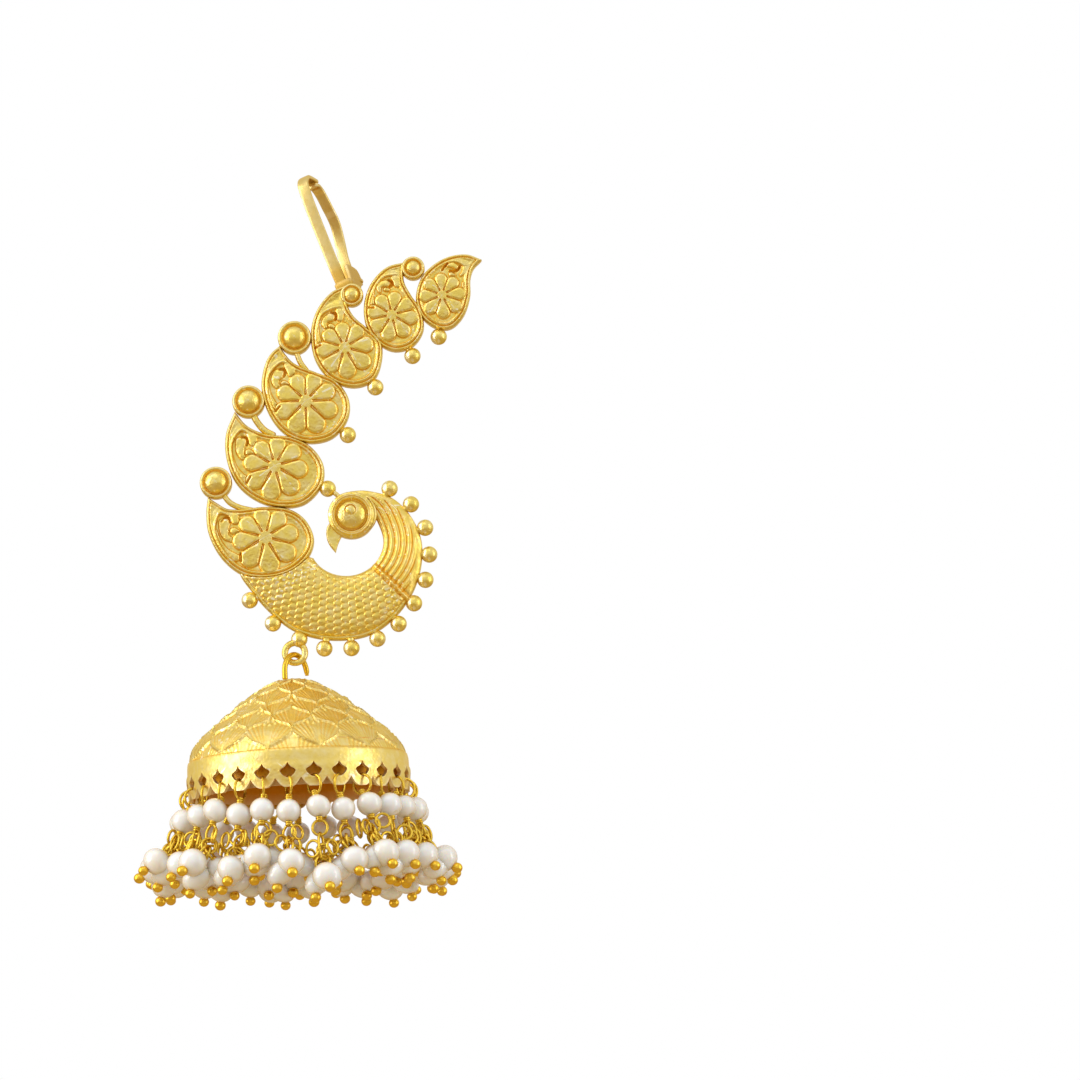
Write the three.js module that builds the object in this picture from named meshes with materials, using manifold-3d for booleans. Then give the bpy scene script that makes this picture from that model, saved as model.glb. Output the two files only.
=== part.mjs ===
// Peacock ear cuff with a bell drop, for the left side of the wearer's pair.
//
// A cast frame of six paisley leaves and a peacock follows the edge of the ear. A lever clasp
// closes round the top of the ear and a post goes through the lobe. A domed bell with a fringe
// of pearls hangs by a wire hook in the eyelet under the peacock.
//
// Millimetres, +Z up. The frame's flat back lies in the plane Y = 0 and its front faces -Y.
// The origin is the foot of the ear post. Flat outlines are lists of [x, z].
import * as THREE from 'three';
import { mergeVertices } from 'three/addons/utils/BufferGeometryUtils.js';
import Module from 'manifold-3d';

const wasm = await Module();
wasm.setup();

// ---- driving dimensions ----

const PLATE = 1.5;            // floor of a leaf, forward of the back plane
const RIM = 2.2;              // raised border of a leaf
const RIM_SHARE = 0.18;       // the border's width as a share of the way to the flower's middle
const FLOWER = 1.95;          // top of the flower on the leaf's floor
const BODY = 2.0;             // the peacock's body and neck
const OVERLAP = 0.05;         // how far pieces of one casting run into each other

const BEAD_RADIUS = 1.05;
const NECK_WIDTH = 0.8;       // the short neck that joins a bead to the casting
const NECK_LENGTH = 2.0;
const NECK = [0.3, 1.6];      // its back and front, forward of the back plane
const STRUT = [0.2, 1.7];     // the same of a strut

const POST_RADIUS = 0.45;
const POST_LENGTH = 10.4;
const POST_GAP = 0.1;

const LEAF_STEPS = 32;        // points round a leaf's edge
const ROUND_SIDES = 12;

const BELL_AXIS = new THREE.Vector3(0.3, -1.1, 0);
const BELL_LEAN = THREE.MathUtils.degToRad(-1);
const HOLE_COUNT = 27;
const HOLE_PITCH = 2 * Math.PI / HOLE_COUNT;
const FIRST_HOLE = THREE.MathUtils.degToRad(-3.6);   // measured from the bell's front
const WALL = 0.55;
const CROWN = -12.5;
const HOLE_HEIGHT = -26.8;
const LIP = -28.8;
const CUSP_DEPTH = 0.65;

const PEARL_RADIUS = 1.65;
const BALL_RADIUS = 0.72;
const BALL_STAND_OFF = 0.5;   // a ball's middle, past its pearl's surface
const PIN_RADIUS = 0.22;

// ---- materials ----

const gold = new THREE.MeshStandardMaterial({ color: 0xdbb861, roughness: 0.42, metalness: 1 });
const brightGold = new THREE.MeshStandardMaterial({ color: 0xe6b733, roughness: 0.25, metalness: 1 });
const pearl = new THREE.MeshStandardMaterial({ color: 0xf2ede4, roughness: 0.3, metalness: 0 });

// ---- helpers ----

// A closed geometry as a solid that can be joined and cut.
function solid(geometry) {
  geometry.deleteAttribute('normal');
  geometry.deleteAttribute('uv');
  const merged = mergeVertices(geometry, 1e-4);
  return new wasm.Manifold(new wasm.Mesh({
    numProp: 3,
    vertProperties: new Float32Array(merged.attributes.position.array),
    triVerts: new Uint32Array(merged.index.array),
  }));
}

function join(solids) {
  return solids.reduce((whole, piece) => whole.add(piece));
}

function meshOf(body, name, material) {
  const { vertProperties, triVerts } = body.getMesh();
  const geometry = new THREE.BufferGeometry();
  geometry.setAttribute('position', new THREE.BufferAttribute(vertProperties, 3));
  geometry.setIndex(new THREE.BufferAttribute(triVerts, 1));
  const mesh = new THREE.Mesh(geometry, material);
  mesh.name = name;
  return mesh;
}

// A flat outline in X and Z, made solid between two distances forward of the back plane.
function plate(outline, back, front) {
  const shape = new THREE.Shape(outline.map(([x, z]) => new THREE.Vector2(x, z)));
  const geometry = new THREE.ExtrudeGeometry(shape, { depth: front - back, bevelEnabled: false });
  geometry.rotateX(Math.PI / 2);
  geometry.translate(0, -back, 0);
  return solid(geometry);
}

// A straight bar in the picture plane, from one [x, z] to another.
function bar([x1, z1], [x2, z2], width, back, front) {
  const length = Math.hypot(x2 - x1, z2 - z1);
  const across = [-(z2 - z1) / length * width / 2, (x2 - x1) / length * width / 2];
  return plate([
    [x1 + across[0], z1 + across[1]],
    [x1 - across[0], z1 - across[1]],
    [x2 - across[0], z2 - across[1]],
    [x2 + across[0], z2 + across[1]],
  ], back, front);
}

// A curve through the points, as evenly spaced [x, z].
function curveThrough(points, steps) {
  const curve = new THREE.CatmullRomCurve3(
    points.map(([x, z]) => new THREE.Vector3(x, z, 0)), false, 'centripetal');
  return curve.getSpacedPoints(steps).map(({ x, y }) => [x, y]);
}

function arc([x, z], radius, fromDegrees, toDegrees, steps) {
  return Array.from({ length: steps + 1 }, (_, i) => {
    const angle = THREE.MathUtils.degToRad(fromDegrees + (toDegrees - fromDegrees) * i / steps);
    return [x + radius * Math.cos(angle), z + radius * Math.sin(angle)];
  });
}

// A profile of [radius, forward] turned about an axis that points out of the front.
function turned(profile, [x, z], sides) {
  const points = profile.map(([r, forward]) => new THREE.Vector2(r, forward));
  const geometry = new THREE.LatheGeometry(points, sides);
  geometry.rotateX(Math.PI);
  geometry.translate(x, 0, z);
  return solid(geometry);
}

function ball(radius, x, y, z) {
  const geometry = new THREE.IcosahedronGeometry(radius);
  geometry.translate(x, y, z);
  return solid(geometry);
}

// A cast bead and the neck that joins it to the casting, pointing at the place it grows from.
function bead([x, z], [rootX, rootZ]) {
  const reach = NECK_LENGTH / Math.hypot(rootX - x, rootZ - z);
  const root = [x + (rootX - x) * reach, z + (rootZ - z) * reach];
  return [
    ball(BEAD_RADIUS, x, -BEAD_RADIUS, z),
    bar([x, z], root, NECK_WIDTH, ...NECK),
  ];
}

// ---- the leaves ----

// Each leaf has its flower's centre and radius, how far the sunk floor reaches from the centre,
// and its edge: the tip first, then round the belly and back along the hollow side.
const leaves = [
  {
    flower: [-4.1, 6.0], petals: 3.9, reach: 5.9,
    edge: [[-11.5, 11.8], [-11.9, 9.2], [-11.5, 6.4], [-9.7, 3.2], [-7.1, 1.1], [-3.9, 0.7],
      [-0.8, 1.5], [1.6, 3.7], [2.3, 6.1], [1.5, 8.7], [-0.7, 10.1], [-4.3, 10.3], [-7.5, 10.0],
      [-9.9, 10.4]],
  },
  {
    flower: [-2.9, 15.7], petals: 4.1, reach: 5.9,
    edge: [[-8.2, 22.9], [-9.3, 20.0], [-9.2, 16.8], [-7.9, 13.6], [-5.5, 11.3], [-2.4, 10.25],
      [0.8, 10.9], [3.1, 13.2], [3.4, 15.9], [1.9, 18.4], [-0.8, 19.7], [-4.3, 20.1],
      [-6.7, 21.2]],
  },
  {
    flower: [1.1, 24.4], petals: 3.9, reach: 5.9,
    edge: [[-2.1, 31.6], [-4.0, 29.5], [-4.7, 26.5], [-3.9, 23.2], [-1.9, 20.3], [1.2, 18.9],
      [4.5, 19.6], [6.5, 22.0], [6.9, 24.9], [5.3, 27.2], [2.5, 28.4], [-0.4, 29.7],
      [-1.5, 30.7]],
  },
  {
    flower: [6.3, 32.0], petals: 3.4, reach: 5.2,
    edge: [[6.3, 40.2], [4.4, 39.2], [2.5, 36.7], [1.8, 33.6], [2.5, 30.0], [4.7, 27.3],
      [7.7, 26.3], [10.3, 27.3], [11.3, 30.0], [11.1, 32.7], [9.3, 34.4], [7.5, 36.0],
      [6.6, 37.9]],
  },
  {
    flower: [12.5, 36.1], petals: 3.3, reach: 4.8,
    edge: [[14.6, 43.0], [12.1, 42.3], [10.0, 40.3], [8.9, 37.6], [9.2, 34.7], [10.7, 32.4],
      [12.9, 31.2], [15.2, 31.9], [16.7, 34.1], [16.5, 36.8], [15.2, 38.8], [14.4, 40.8]],
  },
  {
    flower: [19.5, 38.8], petals: 2.7, reach: 4.2,
    edge: [[24.4, 43.7], [22.8, 44.2], [20.5, 43.7], [18.3, 42.5], [16.7, 40.8], [16.0, 38.1],
      [16.8, 35.7], [18.7, 34.3], [20.7, 34.3], [22.3, 36.0], [22.9, 38.8], [23.1, 41.5]],
  },
];

// The sunk floor, cut down to the plate: the leaf's edge drawn in towards the flower, as far
// into the tip as the floor reaches.
function sunkFloor({ flower: [cx, cz], reach }, edge, back, front) {
  const inner = edge.map(([x, z]) => [
    cx + (x - cx) * (1 - RIM_SHARE), cz + (z - cz) * (1 - RIM_SHARE)]);
  const disc = turned([[0, back], [reach, back], [reach, front], [0, front]], [cx, cz], 18);
  return plate(inner, back, front).intersect(disc);
}

// Eight round petals as one wavy outline.
function petalEdge({ flower: [cx, cz], petals }) {
  const stepsPerPetal = 4;
  const steps = 8 * stepsPerPetal;
  return Array.from({ length: steps }, (_, i) => {
    const angle = 2 * Math.PI * i / steps;
    const radius = petals * (i % stepsPerPetal ? 1 : 0.7);
    return [cx + radius * Math.cos(angle), cz + radius * Math.sin(angle)];
  });
}

function leaf(row) {
  const edge = curveThrough([...row.edge, row.edge[0]], LEAF_STEPS).slice(0, -1);
  const floor = sunkFloor(row, edge, PLATE, RIM + 1);
  const flower = plate(petalEdge(row), PLATE - OVERLAP, FLOWER);
  const inside = sunkFloor(row, edge, PLATE - 2 * OVERLAP, FLOWER + 1);
  return plate(edge, 0, RIM).subtract(floor).add(flower.intersect(inside));
}

// A round boss: a raised ring, a groove and a dome.
function boss(centre, radius, domeRadius) {
  const groove = 1.6;
  const bevel = 0.25;
  const domeHeight = 0.85 * domeRadius;
  return turned([
    [0, 0], [radius, 0], [radius, RIM - bevel], [radius - bevel, RIM],
    [domeRadius + bevel / 2, RIM], [domeRadius, groove],
    [0.87 * domeRadius, groove + 0.5 * domeHeight],
    [0.5 * domeRadius, groove + 0.87 * domeHeight], [0, groove + domeHeight],
  ], centre, ROUND_SIDES);
}

const bosses = [
  { centre: [-10.8, 13.5], radius: 2.15, dome: 1.45 },
  { centre: [-6.5, 24.5], radius: 2.1, dome: 1.45 },
  { centre: [-0.3, 33.0], radius: 2.15, dome: 1.45 },
  { centre: [7.2, 38.9], radius: 1.55, dome: 0.9 },
  { centre: [15.3, 42.3], radius: 1.55, dome: 0.9 },
];

// Thin struts from a boss down to the hollow side of the leaf beside it.
const struts = [
  { from: [-9.5, 12.0], to: [-6.1, 9.8], width: 0.8 },
  { from: [-5.6, 23.2], to: [-3.1, 19.8], width: 1.0 },
  { from: [0.3, 31.2], to: [1.9, 28.2], width: 0.7 },
];

// Beads on the leaves' outer side, by leaf.
const leafBeads = [
  { centre: [4.1, 12.9], leaf: 1 },
  { centre: [6.8, 20.1], leaf: 2 },
  { centre: [10.5, 26.5], leaf: 3 },
  { centre: [15.4, 30.8], leaf: 4 },
  { centre: [18.9, 33.2], leaf: 5 },
];

// ---- the peacock ----

const HEAD = [7.2, 9.3];
const HEAD_RADIUS = 3.13;
const HEAD_JOINT = [5.9, 11.4];       // where a leaf's bead meets the head's ring
const HEAD_DOME = 3.0;
const BEAK = 1.7;
const EYE_BEAD_RADIUS = 0.75;
const HOLLOW = [6.7, 6.0];            // centre of the round opening inside the neck
const HOLLOW_RADIUS = 4.87;
const BODY_MIDDLE = [6.4, 3.3];
const EYELET_BEAD = [0.2, -7.3];      // the bead that carries the eyelet

const bodyBeads = [
  [-6.3, -2.1], [-3.1, -5.2], EYELET_BEAD, [3.7, -8.5], [7.3, -8.5], [10.7, -7.2], [13.5, -5.2],
  [15.6, -2.5], [17.1, 0.7], [17.7, 4.1], [17.1, 7.7], [15.3, 10.8], [12.3, 12.9],
];

// The belly and the neck are one crescent: its outer edge, the head's middle, then back round
// the opening to the part that the lowest leaf covers.
function peacockBody() {
  const outer = curveThrough([
    [-7.6, 1.7], [-6.0, -1.3], [-3.6, -4.0], [0, -6.5], [5.1, -7.5], [10.0, -6.8], [13.7, -3.9],
    [16.1, 0.3], [16.7, 5.3], [15.3, 8.9], [12.7, 11.5], [9.1, 12.5], [7.1, 12.4]], 36);
  const inner = arc(HOLLOW, HOLLOW_RADIUS, 29, -151, 20);
  return plate([...outer, HEAD, ...inner, [-3.6, 5.3], [-6.3, 3.3]], 0, BODY);
}

// The head is a stepped ring round a dome, and the dome carries the eye bead.
function peacockHead() {
  const head = turned([
    [0, 0], [HEAD_RADIUS, 0], [HEAD_RADIUS, 2.1], [2.7, 2.4], [2.3, 2.4], [2.0, 2.1],
    [1.9, 2.1], [1.6, 2.7], [1.0, HEAD_DOME], [0, HEAD_DOME + OVERLAP],
  ], HEAD, 16);
  const eye = ball(EYE_BEAD_RADIUS, HEAD[0], -HEAD_DOME, HEAD[1] + 0.7);
  const beak = plate([
    [4.9, 8.0], [4.1, 7.7], [4.0, 6.3], [4.4, 5.3], [5.2, 4.3], [5.9, 6.4], [6.6, 7.5],
  ], 0, BEAK);
  return join([head, eye, beak]);
}

// ---- the eyelet under the peacock ----

const EYELET_RADIUS = 1.31;
const EYELET_WIRE = 0.315;
const EYELET = new THREE.Vector3(-0.15, -1.1, -9.2);

function eyelet() {
  const geometry = new THREE.TorusGeometry(EYELET_RADIUS, EYELET_WIRE, 6, 14);
  geometry.rotateX(Math.PI / 2);
  geometry.translate(EYELET.x, EYELET.y, EYELET.z);
  return solid(geometry);
}

// ---- the lever clasp behind the top of the frame ----

// The clasp has a frame of its own: X across its strips, Y back from the ornament and Z up along
// it. It leans towards the leaf tips and is turned a little about its own length.
const claspPlace = new THREE.Matrix4().compose(
  new THREE.Vector3(6.4, 0, 40.13),
  new THREE.Quaternion().setFromEuler(new THREE.Euler(
    0, THREE.MathUtils.degToRad(-22), THREE.MathUtils.degToRad(-15), 'YXZ')),
  new THREE.Vector3(1, 1, 1));

const STRIP_WIDTH = 1.35;
const STRIP_THICK = 0.6;
const CHEEK_THICK = 0.5;
const CHEEK_GAP = 1.9;                // between the bracket's cheeks
const PIVOT = [5.0, 0.9];             // back and up, in the clasp's frame
const PIVOT_RADIUS = 0.32;
const PIVOT_CLEARANCE = 0.15;
const PIN_HEAD = 0.15;                // how far the pin stands out of a cheek
const CHEEK_ROUND = 1.25;
const PAD_WIDTH = 2.9;
const EYE_RADIUS = 1.0;

// A flat outline of [back, up] in the clasp's frame, made solid across its width.
function acrossClasp(outline, middle, width) {
  const shape = new THREE.Shape(outline.map(([back, up]) => new THREE.Vector2(back, up)));
  const geometry = new THREE.ExtrudeGeometry(shape, { depth: width, bevelEnabled: false });
  geometry.applyMatrix4(new THREE.Matrix4().makeBasis(
    new THREE.Vector3(0, 1, 0), new THREE.Vector3(0, 0, 1), new THREE.Vector3(1, 0, 0)));
  geometry.translate(middle - width / 2, 0, 0);
  return solid(geometry);
}

// The outline of a strip of one thickness along a curve of [back, up].
function stripOutline(points, steps) {
  const route = curveThrough(points, steps);
  const sides = [[], []];
  route.forEach(([back, up], i) => {
    const before = route[Math.max(i - 1, 0)];
    const after = route[Math.min(i + 1, route.length - 1)];
    const run = Math.hypot(after[0] - before[0], after[1] - before[1]);
    const normal = [-(after[1] - before[1]) / run, (after[0] - before[0]) / run];
    sides[0].push([back + normal[0] * STRIP_THICK / 2, up + normal[1] * STRIP_THICK / 2]);
    sides[1].unshift([back - normal[0] * STRIP_THICK / 2, up - normal[1] * STRIP_THICK / 2]);
  });
  return [...sides[0], ...sides[1]];
}

// The part soldered to the frame: a pad behind the leaf, two cheeks with the pivot pin between
// them, and the fixed strip that bends over the top of the ear.
function claspBracket() {
  const pad = acrossClasp([[-0.9, -4.2], [1.0, -4.2], [1.0, 1.2], [-0.9, 1.2]], 0, PAD_WIDTH);
  const cheekOutline = [
    [-0.6, -1.6], [3.4, -1.6], ...arc(PIVOT, CHEEK_ROUND, -60, 100, 8), [3.2, 2.6], [-0.1, 2.6]];
  const cheeks = [-1, 1].map((side) => acrossClasp(
    cheekOutline, side * (CHEEK_GAP + CHEEK_THICK) / 2, CHEEK_THICK));
  const pin = acrossClasp(
    arc(PIVOT, PIVOT_RADIUS, 0, 315, 7), 0, CHEEK_GAP + 2 * (CHEEK_THICK + PIN_HEAD));
  const fixedStrip = acrossClasp(stripOutline([
    [0.35, -1.0], [0.4, 1.5], [0.9, 8.0], [1.4, 13.6], [1.9, 14.8], [3.1, 15.5], [4.4, 15.3],
  ], 18), 0, STRIP_WIDTH);
  return join([pad, ...cheeks, pin, fixedStrip]);
}

// The lever: an eye on the pivot pin, and a bowed strip that shuts under the fixed strip's end.
function claspLever() {
  const eye = acrossClasp(arc(PIVOT, EYE_RADIUS, 0, 337.5, 15), 0, STRIP_WIDTH);
  const strip = acrossClasp(stripOutline([
    [5.7, 0.9], [6.5, 2.4], [7.9, 4.9], [8.5, 7.5], [8.1, 10.1], [7.0, 12.7], [5.9, 14.2],
    [5.0, 14.7],
  ], 22), 0, STRIP_WIDTH);
  const bore = acrossClasp(
    arc(PIVOT, PIVOT_RADIUS + PIVOT_CLEARANCE, 0, 337.5, 15), 0, 2 * STRIP_WIDTH);
  return eye.add(strip).subtract(bore);
}

// ---- the bell ----

// The dome's outside from the crown to the lip, as [radius, z].
const DOME = [
  [2.9, -12.65], [5.4, -14.1], [7.6, -15.7], [9.7, -17.4], [11.6, -19.1], [13.3, -21.0],
  [14.4, -22.9], [15.0, -24.8], [14.85, -28.8],
];

// How much of the wall's thickness lies sideways and how much upright, at the crown and at each
// row of the dome's profile.
const WALL_LEAN = [
  [0, 1], [0.35, 0.95], [0.55, 0.85], [0.6, 0.8], [0.65, 0.75], [0.75, 0.65], [0.85, 0.5],
  [0.95, 0.25], [1, 0], [1, 0]];

// Turns a piece made on the +X side of the bell to one of the places round it.
function roundBell(index) {
  const angle = -Math.PI / 2 + FIRST_HOLE + index * HOLE_PITCH;
  return new THREE.Matrix4().makeRotationZ(angle);
}

// A short prism through the wall: an outline of [along the wall, z] on the +X side.
function throughWall(outline) {
  const shape = new THREE.Shape(outline.map(([along, z]) => new THREE.Vector2(along, z)));
  const depth = 6;
  const geometry = new THREE.ExtrudeGeometry(shape, { depth, bevelEnabled: false });
  geometry.applyMatrix4(new THREE.Matrix4().makeBasis(
    new THREE.Vector3(0, 1, 0), new THREE.Vector3(0, 0, 1), new THREE.Vector3(1, 0, 0)));
  geometry.translate(RING[0] - depth / 2, 0, 0);
  return geometry;
}

function bellDome() {
  const outside = [[0, CROWN], ...DOME];
  const inside = outside.map(([r, z], i) => [
    Math.max(r - WALL * WALL_LEAN[i][0], 0), z - WALL * WALL_LEAN[i][1]]);
  const profile = [...inside, ...outside.reverse()].map(([r, z]) => new THREE.Vector2(r, z));
  const geometry = new THREE.LatheGeometry(profile, HOLE_COUNT, FIRST_HOLE + HOLE_PITCH / 2);
  geometry.rotateX(Math.PI / 2);
  let dome = solid(geometry);
  const ogee = [[0, 1.05], [-1.05, 0.05], [-0.55, -0.85], [0.55, -0.85], [1.05, 0.05]]
    .map(([along, z]) => [along, HOLE_HEIGHT + z]);
  const cusp = [[0, LIP + CUSP_DEPTH], [-1.0, LIP - 0.1], [1.0, LIP - 0.1]];
  for (let index = 0; index < HOLE_COUNT; index += 1) {
    const hole = throughWall(ogee).applyMatrix4(roundBell(index));
    const notch = throughWall(cusp).applyMatrix4(roundBell(index + 0.5));
    dome = dome.subtract(solid(hole)).subtract(solid(notch));
  }
  return dome;
}

// The wire hook: up from the crown, over through the eyelet and down to a free end.
const HOOK_RADIUS = 2.5;
const HOOK_WIRE = 0.36;
const SEAT_GAP = 0.05;                // under the leg that stands on the crown
const FREE_END_GAP = 0.35;
const HOOK_TURN = THREE.MathUtils.degToRad(56);
const HOOK_TOP = EYELET.z - EYELET_RADIUS + 0.95;
const HOOK_X = EYELET.x - BELL_AXIS.x + 0.05;

function bellHook() {
  const bend = HOOK_TOP - HOOK_RADIUS;
  const foot = [[-HOOK_RADIUS, CROWN + SEAT_GAP], [-HOOK_RADIUS, bend]];
  const over = arc([0, bend], HOOK_RADIUS, 180, 0, 10).slice(1);
  const end = [[HOOK_RADIUS, CROWN + FREE_END_GAP]];
  const route = [...foot, ...over, ...end].map(([side, z]) => new THREE.Vector3(side, 0, z));
  const path = new THREE.CurvePath();
  for (let i = 1; i < route.length; i += 1) {
    path.add(new THREE.LineCurve3(route[i - 1], route[i]));
  }
  const section = new THREE.Shape(
    arc([0, 0], HOOK_WIRE, 0, 315, 7).map(([a, b]) => new THREE.Vector2(a, b)));
  const geometry = new THREE.ExtrudeGeometry(section, {
    steps: 24, bevelEnabled: false, extrudePath: path,
  });
  geometry.rotateZ(HOOK_TURN);
  geometry.translate(HOOK_X, 0, 0);
  return solid(geometry);
}

// ---- the pearl fringe ----

// One strand, made on the +X side of the bell: the ring through the hole, the upper pearl on the
// thread that runs down to the pins' foot, and three lower pearls on pins that end in gold
// balls. Each place is [radius from the bell's axis, z].
const RING = [14.53, -28.3];
const UPPER_PEARL = [15.6, -31.65];
const PIN_FOOT = [16.2, -36.1];
const RING_RADIUS = 1.15;
const RING_WIRE = 0.2;
const LOWER_PEARLS = [[18.6, -38.3], [14.85, -38.3], [16.75, -41.1]];

const SWING_OUT = THREE.MathUtils.degToRad(2);
const SWING_SPREAD = THREE.MathUtils.degToRad(4);
const SWING_RHYTHM = 2.4;
const SWING_ASIDE = THREE.MathUtils.degToRad(1.2);
const ASIDE_RHYTHM = 1.3;

function wireRing() {
  const geometry = new THREE.TorusGeometry(RING_RADIUS, RING_WIRE, 3, 6);
  geometry.rotateX(Math.PI / 2);
  geometry.translate(RING[0], 0, RING[1]);
  return solid(geometry);
}

function pin([x1, z1], [x2, z2]) {
  const length = Math.hypot(x2 - x1, z2 - z1);
  const geometry = new THREE.CylinderGeometry(PIN_RADIUS, PIN_RADIUS, length, 3);
  geometry.rotateX(Math.PI / 2);
  geometry.rotateY(Math.atan2(x2 - x1, z2 - z1));
  geometry.translate((x1 + x2) / 2, 0, (z1 + z2) / 2);
  return solid(geometry);
}

function strand() {
  const pieces = [
    wireRing(),
    pin([RING[0] + 0.15, RING[1] - RING_RADIUS], PIN_FOOT),
    ball(PEARL_RADIUS, UPPER_PEARL[0], 0, UPPER_PEARL[1]),
  ];
  for (const centre of LOWER_PEARLS) {
    const length = Math.hypot(centre[0] - PIN_FOOT[0], centre[1] - PIN_FOOT[1]);
    const past = 1 + (PEARL_RADIUS + BALL_STAND_OFF) / length;
    const tip = PIN_FOOT.map((start, i) => start + (centre[i] - start) * past);
    pieces.push(pin(PIN_FOOT, tip));
    pieces.push(ball(PEARL_RADIUS, centre[0], 0, centre[1]));
    const goldBall = new THREE.OctahedronGeometry(BALL_RADIUS);
    goldBall.translate(tip[0], 0, tip[1]);
    pieces.push(solid(goldBall));
  }
  return join(pieces);
}

// ---- the assembly ----

const assembly = new THREE.Group();

const frame = join([
  ...leaves.map(leaf),
  ...bosses.map(({ centre, radius, dome }) => boss(centre, radius, dome)),
  ...struts.map(({ from, to, width }) => bar(from, to, width, ...STRUT)),
  ...leafBeads.flatMap(({ centre, leaf: index }) => bead(centre, leaves[index].flower)),
  bar(leafBeads[0].centre, HEAD_JOINT, NECK_WIDTH, ...NECK),
  peacockBody(),
  peacockHead(),
  ...bodyBeads.flatMap((centre) => bead(centre, BODY_MIDDLE)),
  eyelet(),
  claspBracket().transform(claspPlace.elements),
]);
assembly.add(meshOf(frame, 'cuff_frame', gold));

const post = new THREE.CylinderGeometry(POST_RADIUS, POST_RADIUS, POST_LENGTH, 10);
post.translate(0, POST_GAP + POST_LENGTH / 2, 0);
const postMesh = new THREE.Mesh(post, gold);
postMesh.name = 'ear_post';
assembly.add(postMesh);

assembly.add(meshOf(claspLever().transform(claspPlace.elements), 'clasp_lever', gold));

// The bell leans a little about the eyelet, as it hangs from one leg of its hook.
const bell = new THREE.Group();
bell.position.set(BELL_AXIS.x, BELL_AXIS.y, CROWN);
bell.rotation.y = BELL_LEAN;
const bellPieces = new THREE.Group();
bellPieces.position.z = -CROWN;
bell.add(bellPieces);
assembly.add(bell);

bellPieces.add(meshOf(bellDome(), 'bell_dome', gold));
bellPieces.add(meshOf(bellHook(), 'bell_hook', brightGold));

// The strands hang crowded: each swings out and aside by its own small angle about its ring.
const strandBody = strand();
for (let index = 0; index < HOLE_COUNT; index += 1) {
  const place = new THREE.Group();
  place.rotation.z = -Math.PI / 2 + FIRST_HOLE + index * HOLE_PITCH;
  const swing = new THREE.Group();
  swing.position.set(RING[0], 0, RING[1]);
  swing.rotation.y = -(SWING_OUT + SWING_SPREAD * Math.sin(SWING_RHYTHM * index));
  swing.rotation.x = SWING_ASIDE * Math.sin(ASIDE_RHYTHM * index);
  const mesh = meshOf(strandBody, `pearl_strand_${String(index + 1).padStart(2, '0')}`, pearl);
  mesh.position.set(-RING[0], 0, -RING[1]);
  swing.add(mesh);
  place.add(swing);
  bellPieces.add(place);
}

export default assembly;
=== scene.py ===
import math

import bmesh
import bpy
import numpy as np
from mathutils import Matrix


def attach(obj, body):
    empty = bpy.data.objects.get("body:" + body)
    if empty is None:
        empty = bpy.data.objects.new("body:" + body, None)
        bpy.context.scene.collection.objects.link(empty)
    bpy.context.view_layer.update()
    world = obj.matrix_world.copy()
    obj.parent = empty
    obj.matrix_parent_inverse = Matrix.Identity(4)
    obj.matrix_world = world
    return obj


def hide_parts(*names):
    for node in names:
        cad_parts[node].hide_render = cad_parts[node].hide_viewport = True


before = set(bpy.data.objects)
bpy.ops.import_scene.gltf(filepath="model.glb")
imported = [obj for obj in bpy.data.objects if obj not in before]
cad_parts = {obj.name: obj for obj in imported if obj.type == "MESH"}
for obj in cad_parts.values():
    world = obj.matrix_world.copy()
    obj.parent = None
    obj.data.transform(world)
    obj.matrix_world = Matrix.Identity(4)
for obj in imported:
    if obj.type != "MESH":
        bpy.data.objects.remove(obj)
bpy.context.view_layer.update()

# ---- camera, floor and light ----
# The cuff is held up as on an ear, and a long lens looks at it from in front and a little below.
# The floor is pale and far under it. Soft boxes stand on both sides, the left one stronger.

MM = 0.001
scene = bpy.context.scene
scene.view_settings.view_transform = "Standard"

AIM = (32.4, 0, 6)               # the middle of the view, in millimetres
DISTANCE = 900
VIEW_WIDTH = 144
LOOK_UP = math.radians(8)

camera = bpy.data.objects.new("camera", bpy.data.cameras.new("camera"))
camera.data.lens = camera.data.sensor_width * DISTANCE / VIEW_WIDTH
camera.location = (
    AIM[0] * MM,
    (AIM[1] - DISTANCE * math.cos(LOOK_UP)) * MM,
    (AIM[2] - DISTANCE * math.sin(LOOK_UP)) * MM,
)
camera.rotation_euler = (math.radians(90) + LOOK_UP, 0, 0)
camera.data.clip_start = 0.01
scene.collection.objects.link(camera)
scene.camera = camera


def set_sockets(node, **values):
    """Sets each named input socket of a shader node, with _ for a space in its name."""
    for socket, value in values.items():
        node.inputs[socket.replace("_", " ")].default_value = value


def new_node(tree, kind, **values):
    node = tree.nodes.new("ShaderNode" + kind)
    set_sockets(node, **values)
    return node


def join_nodes(tree, *pairs):
    """Links (node, output, node, input) for each pair."""
    for start, output, end, socket in pairs:
        tree.links.new(start.outputs[output], end.inputs[socket])


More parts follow.
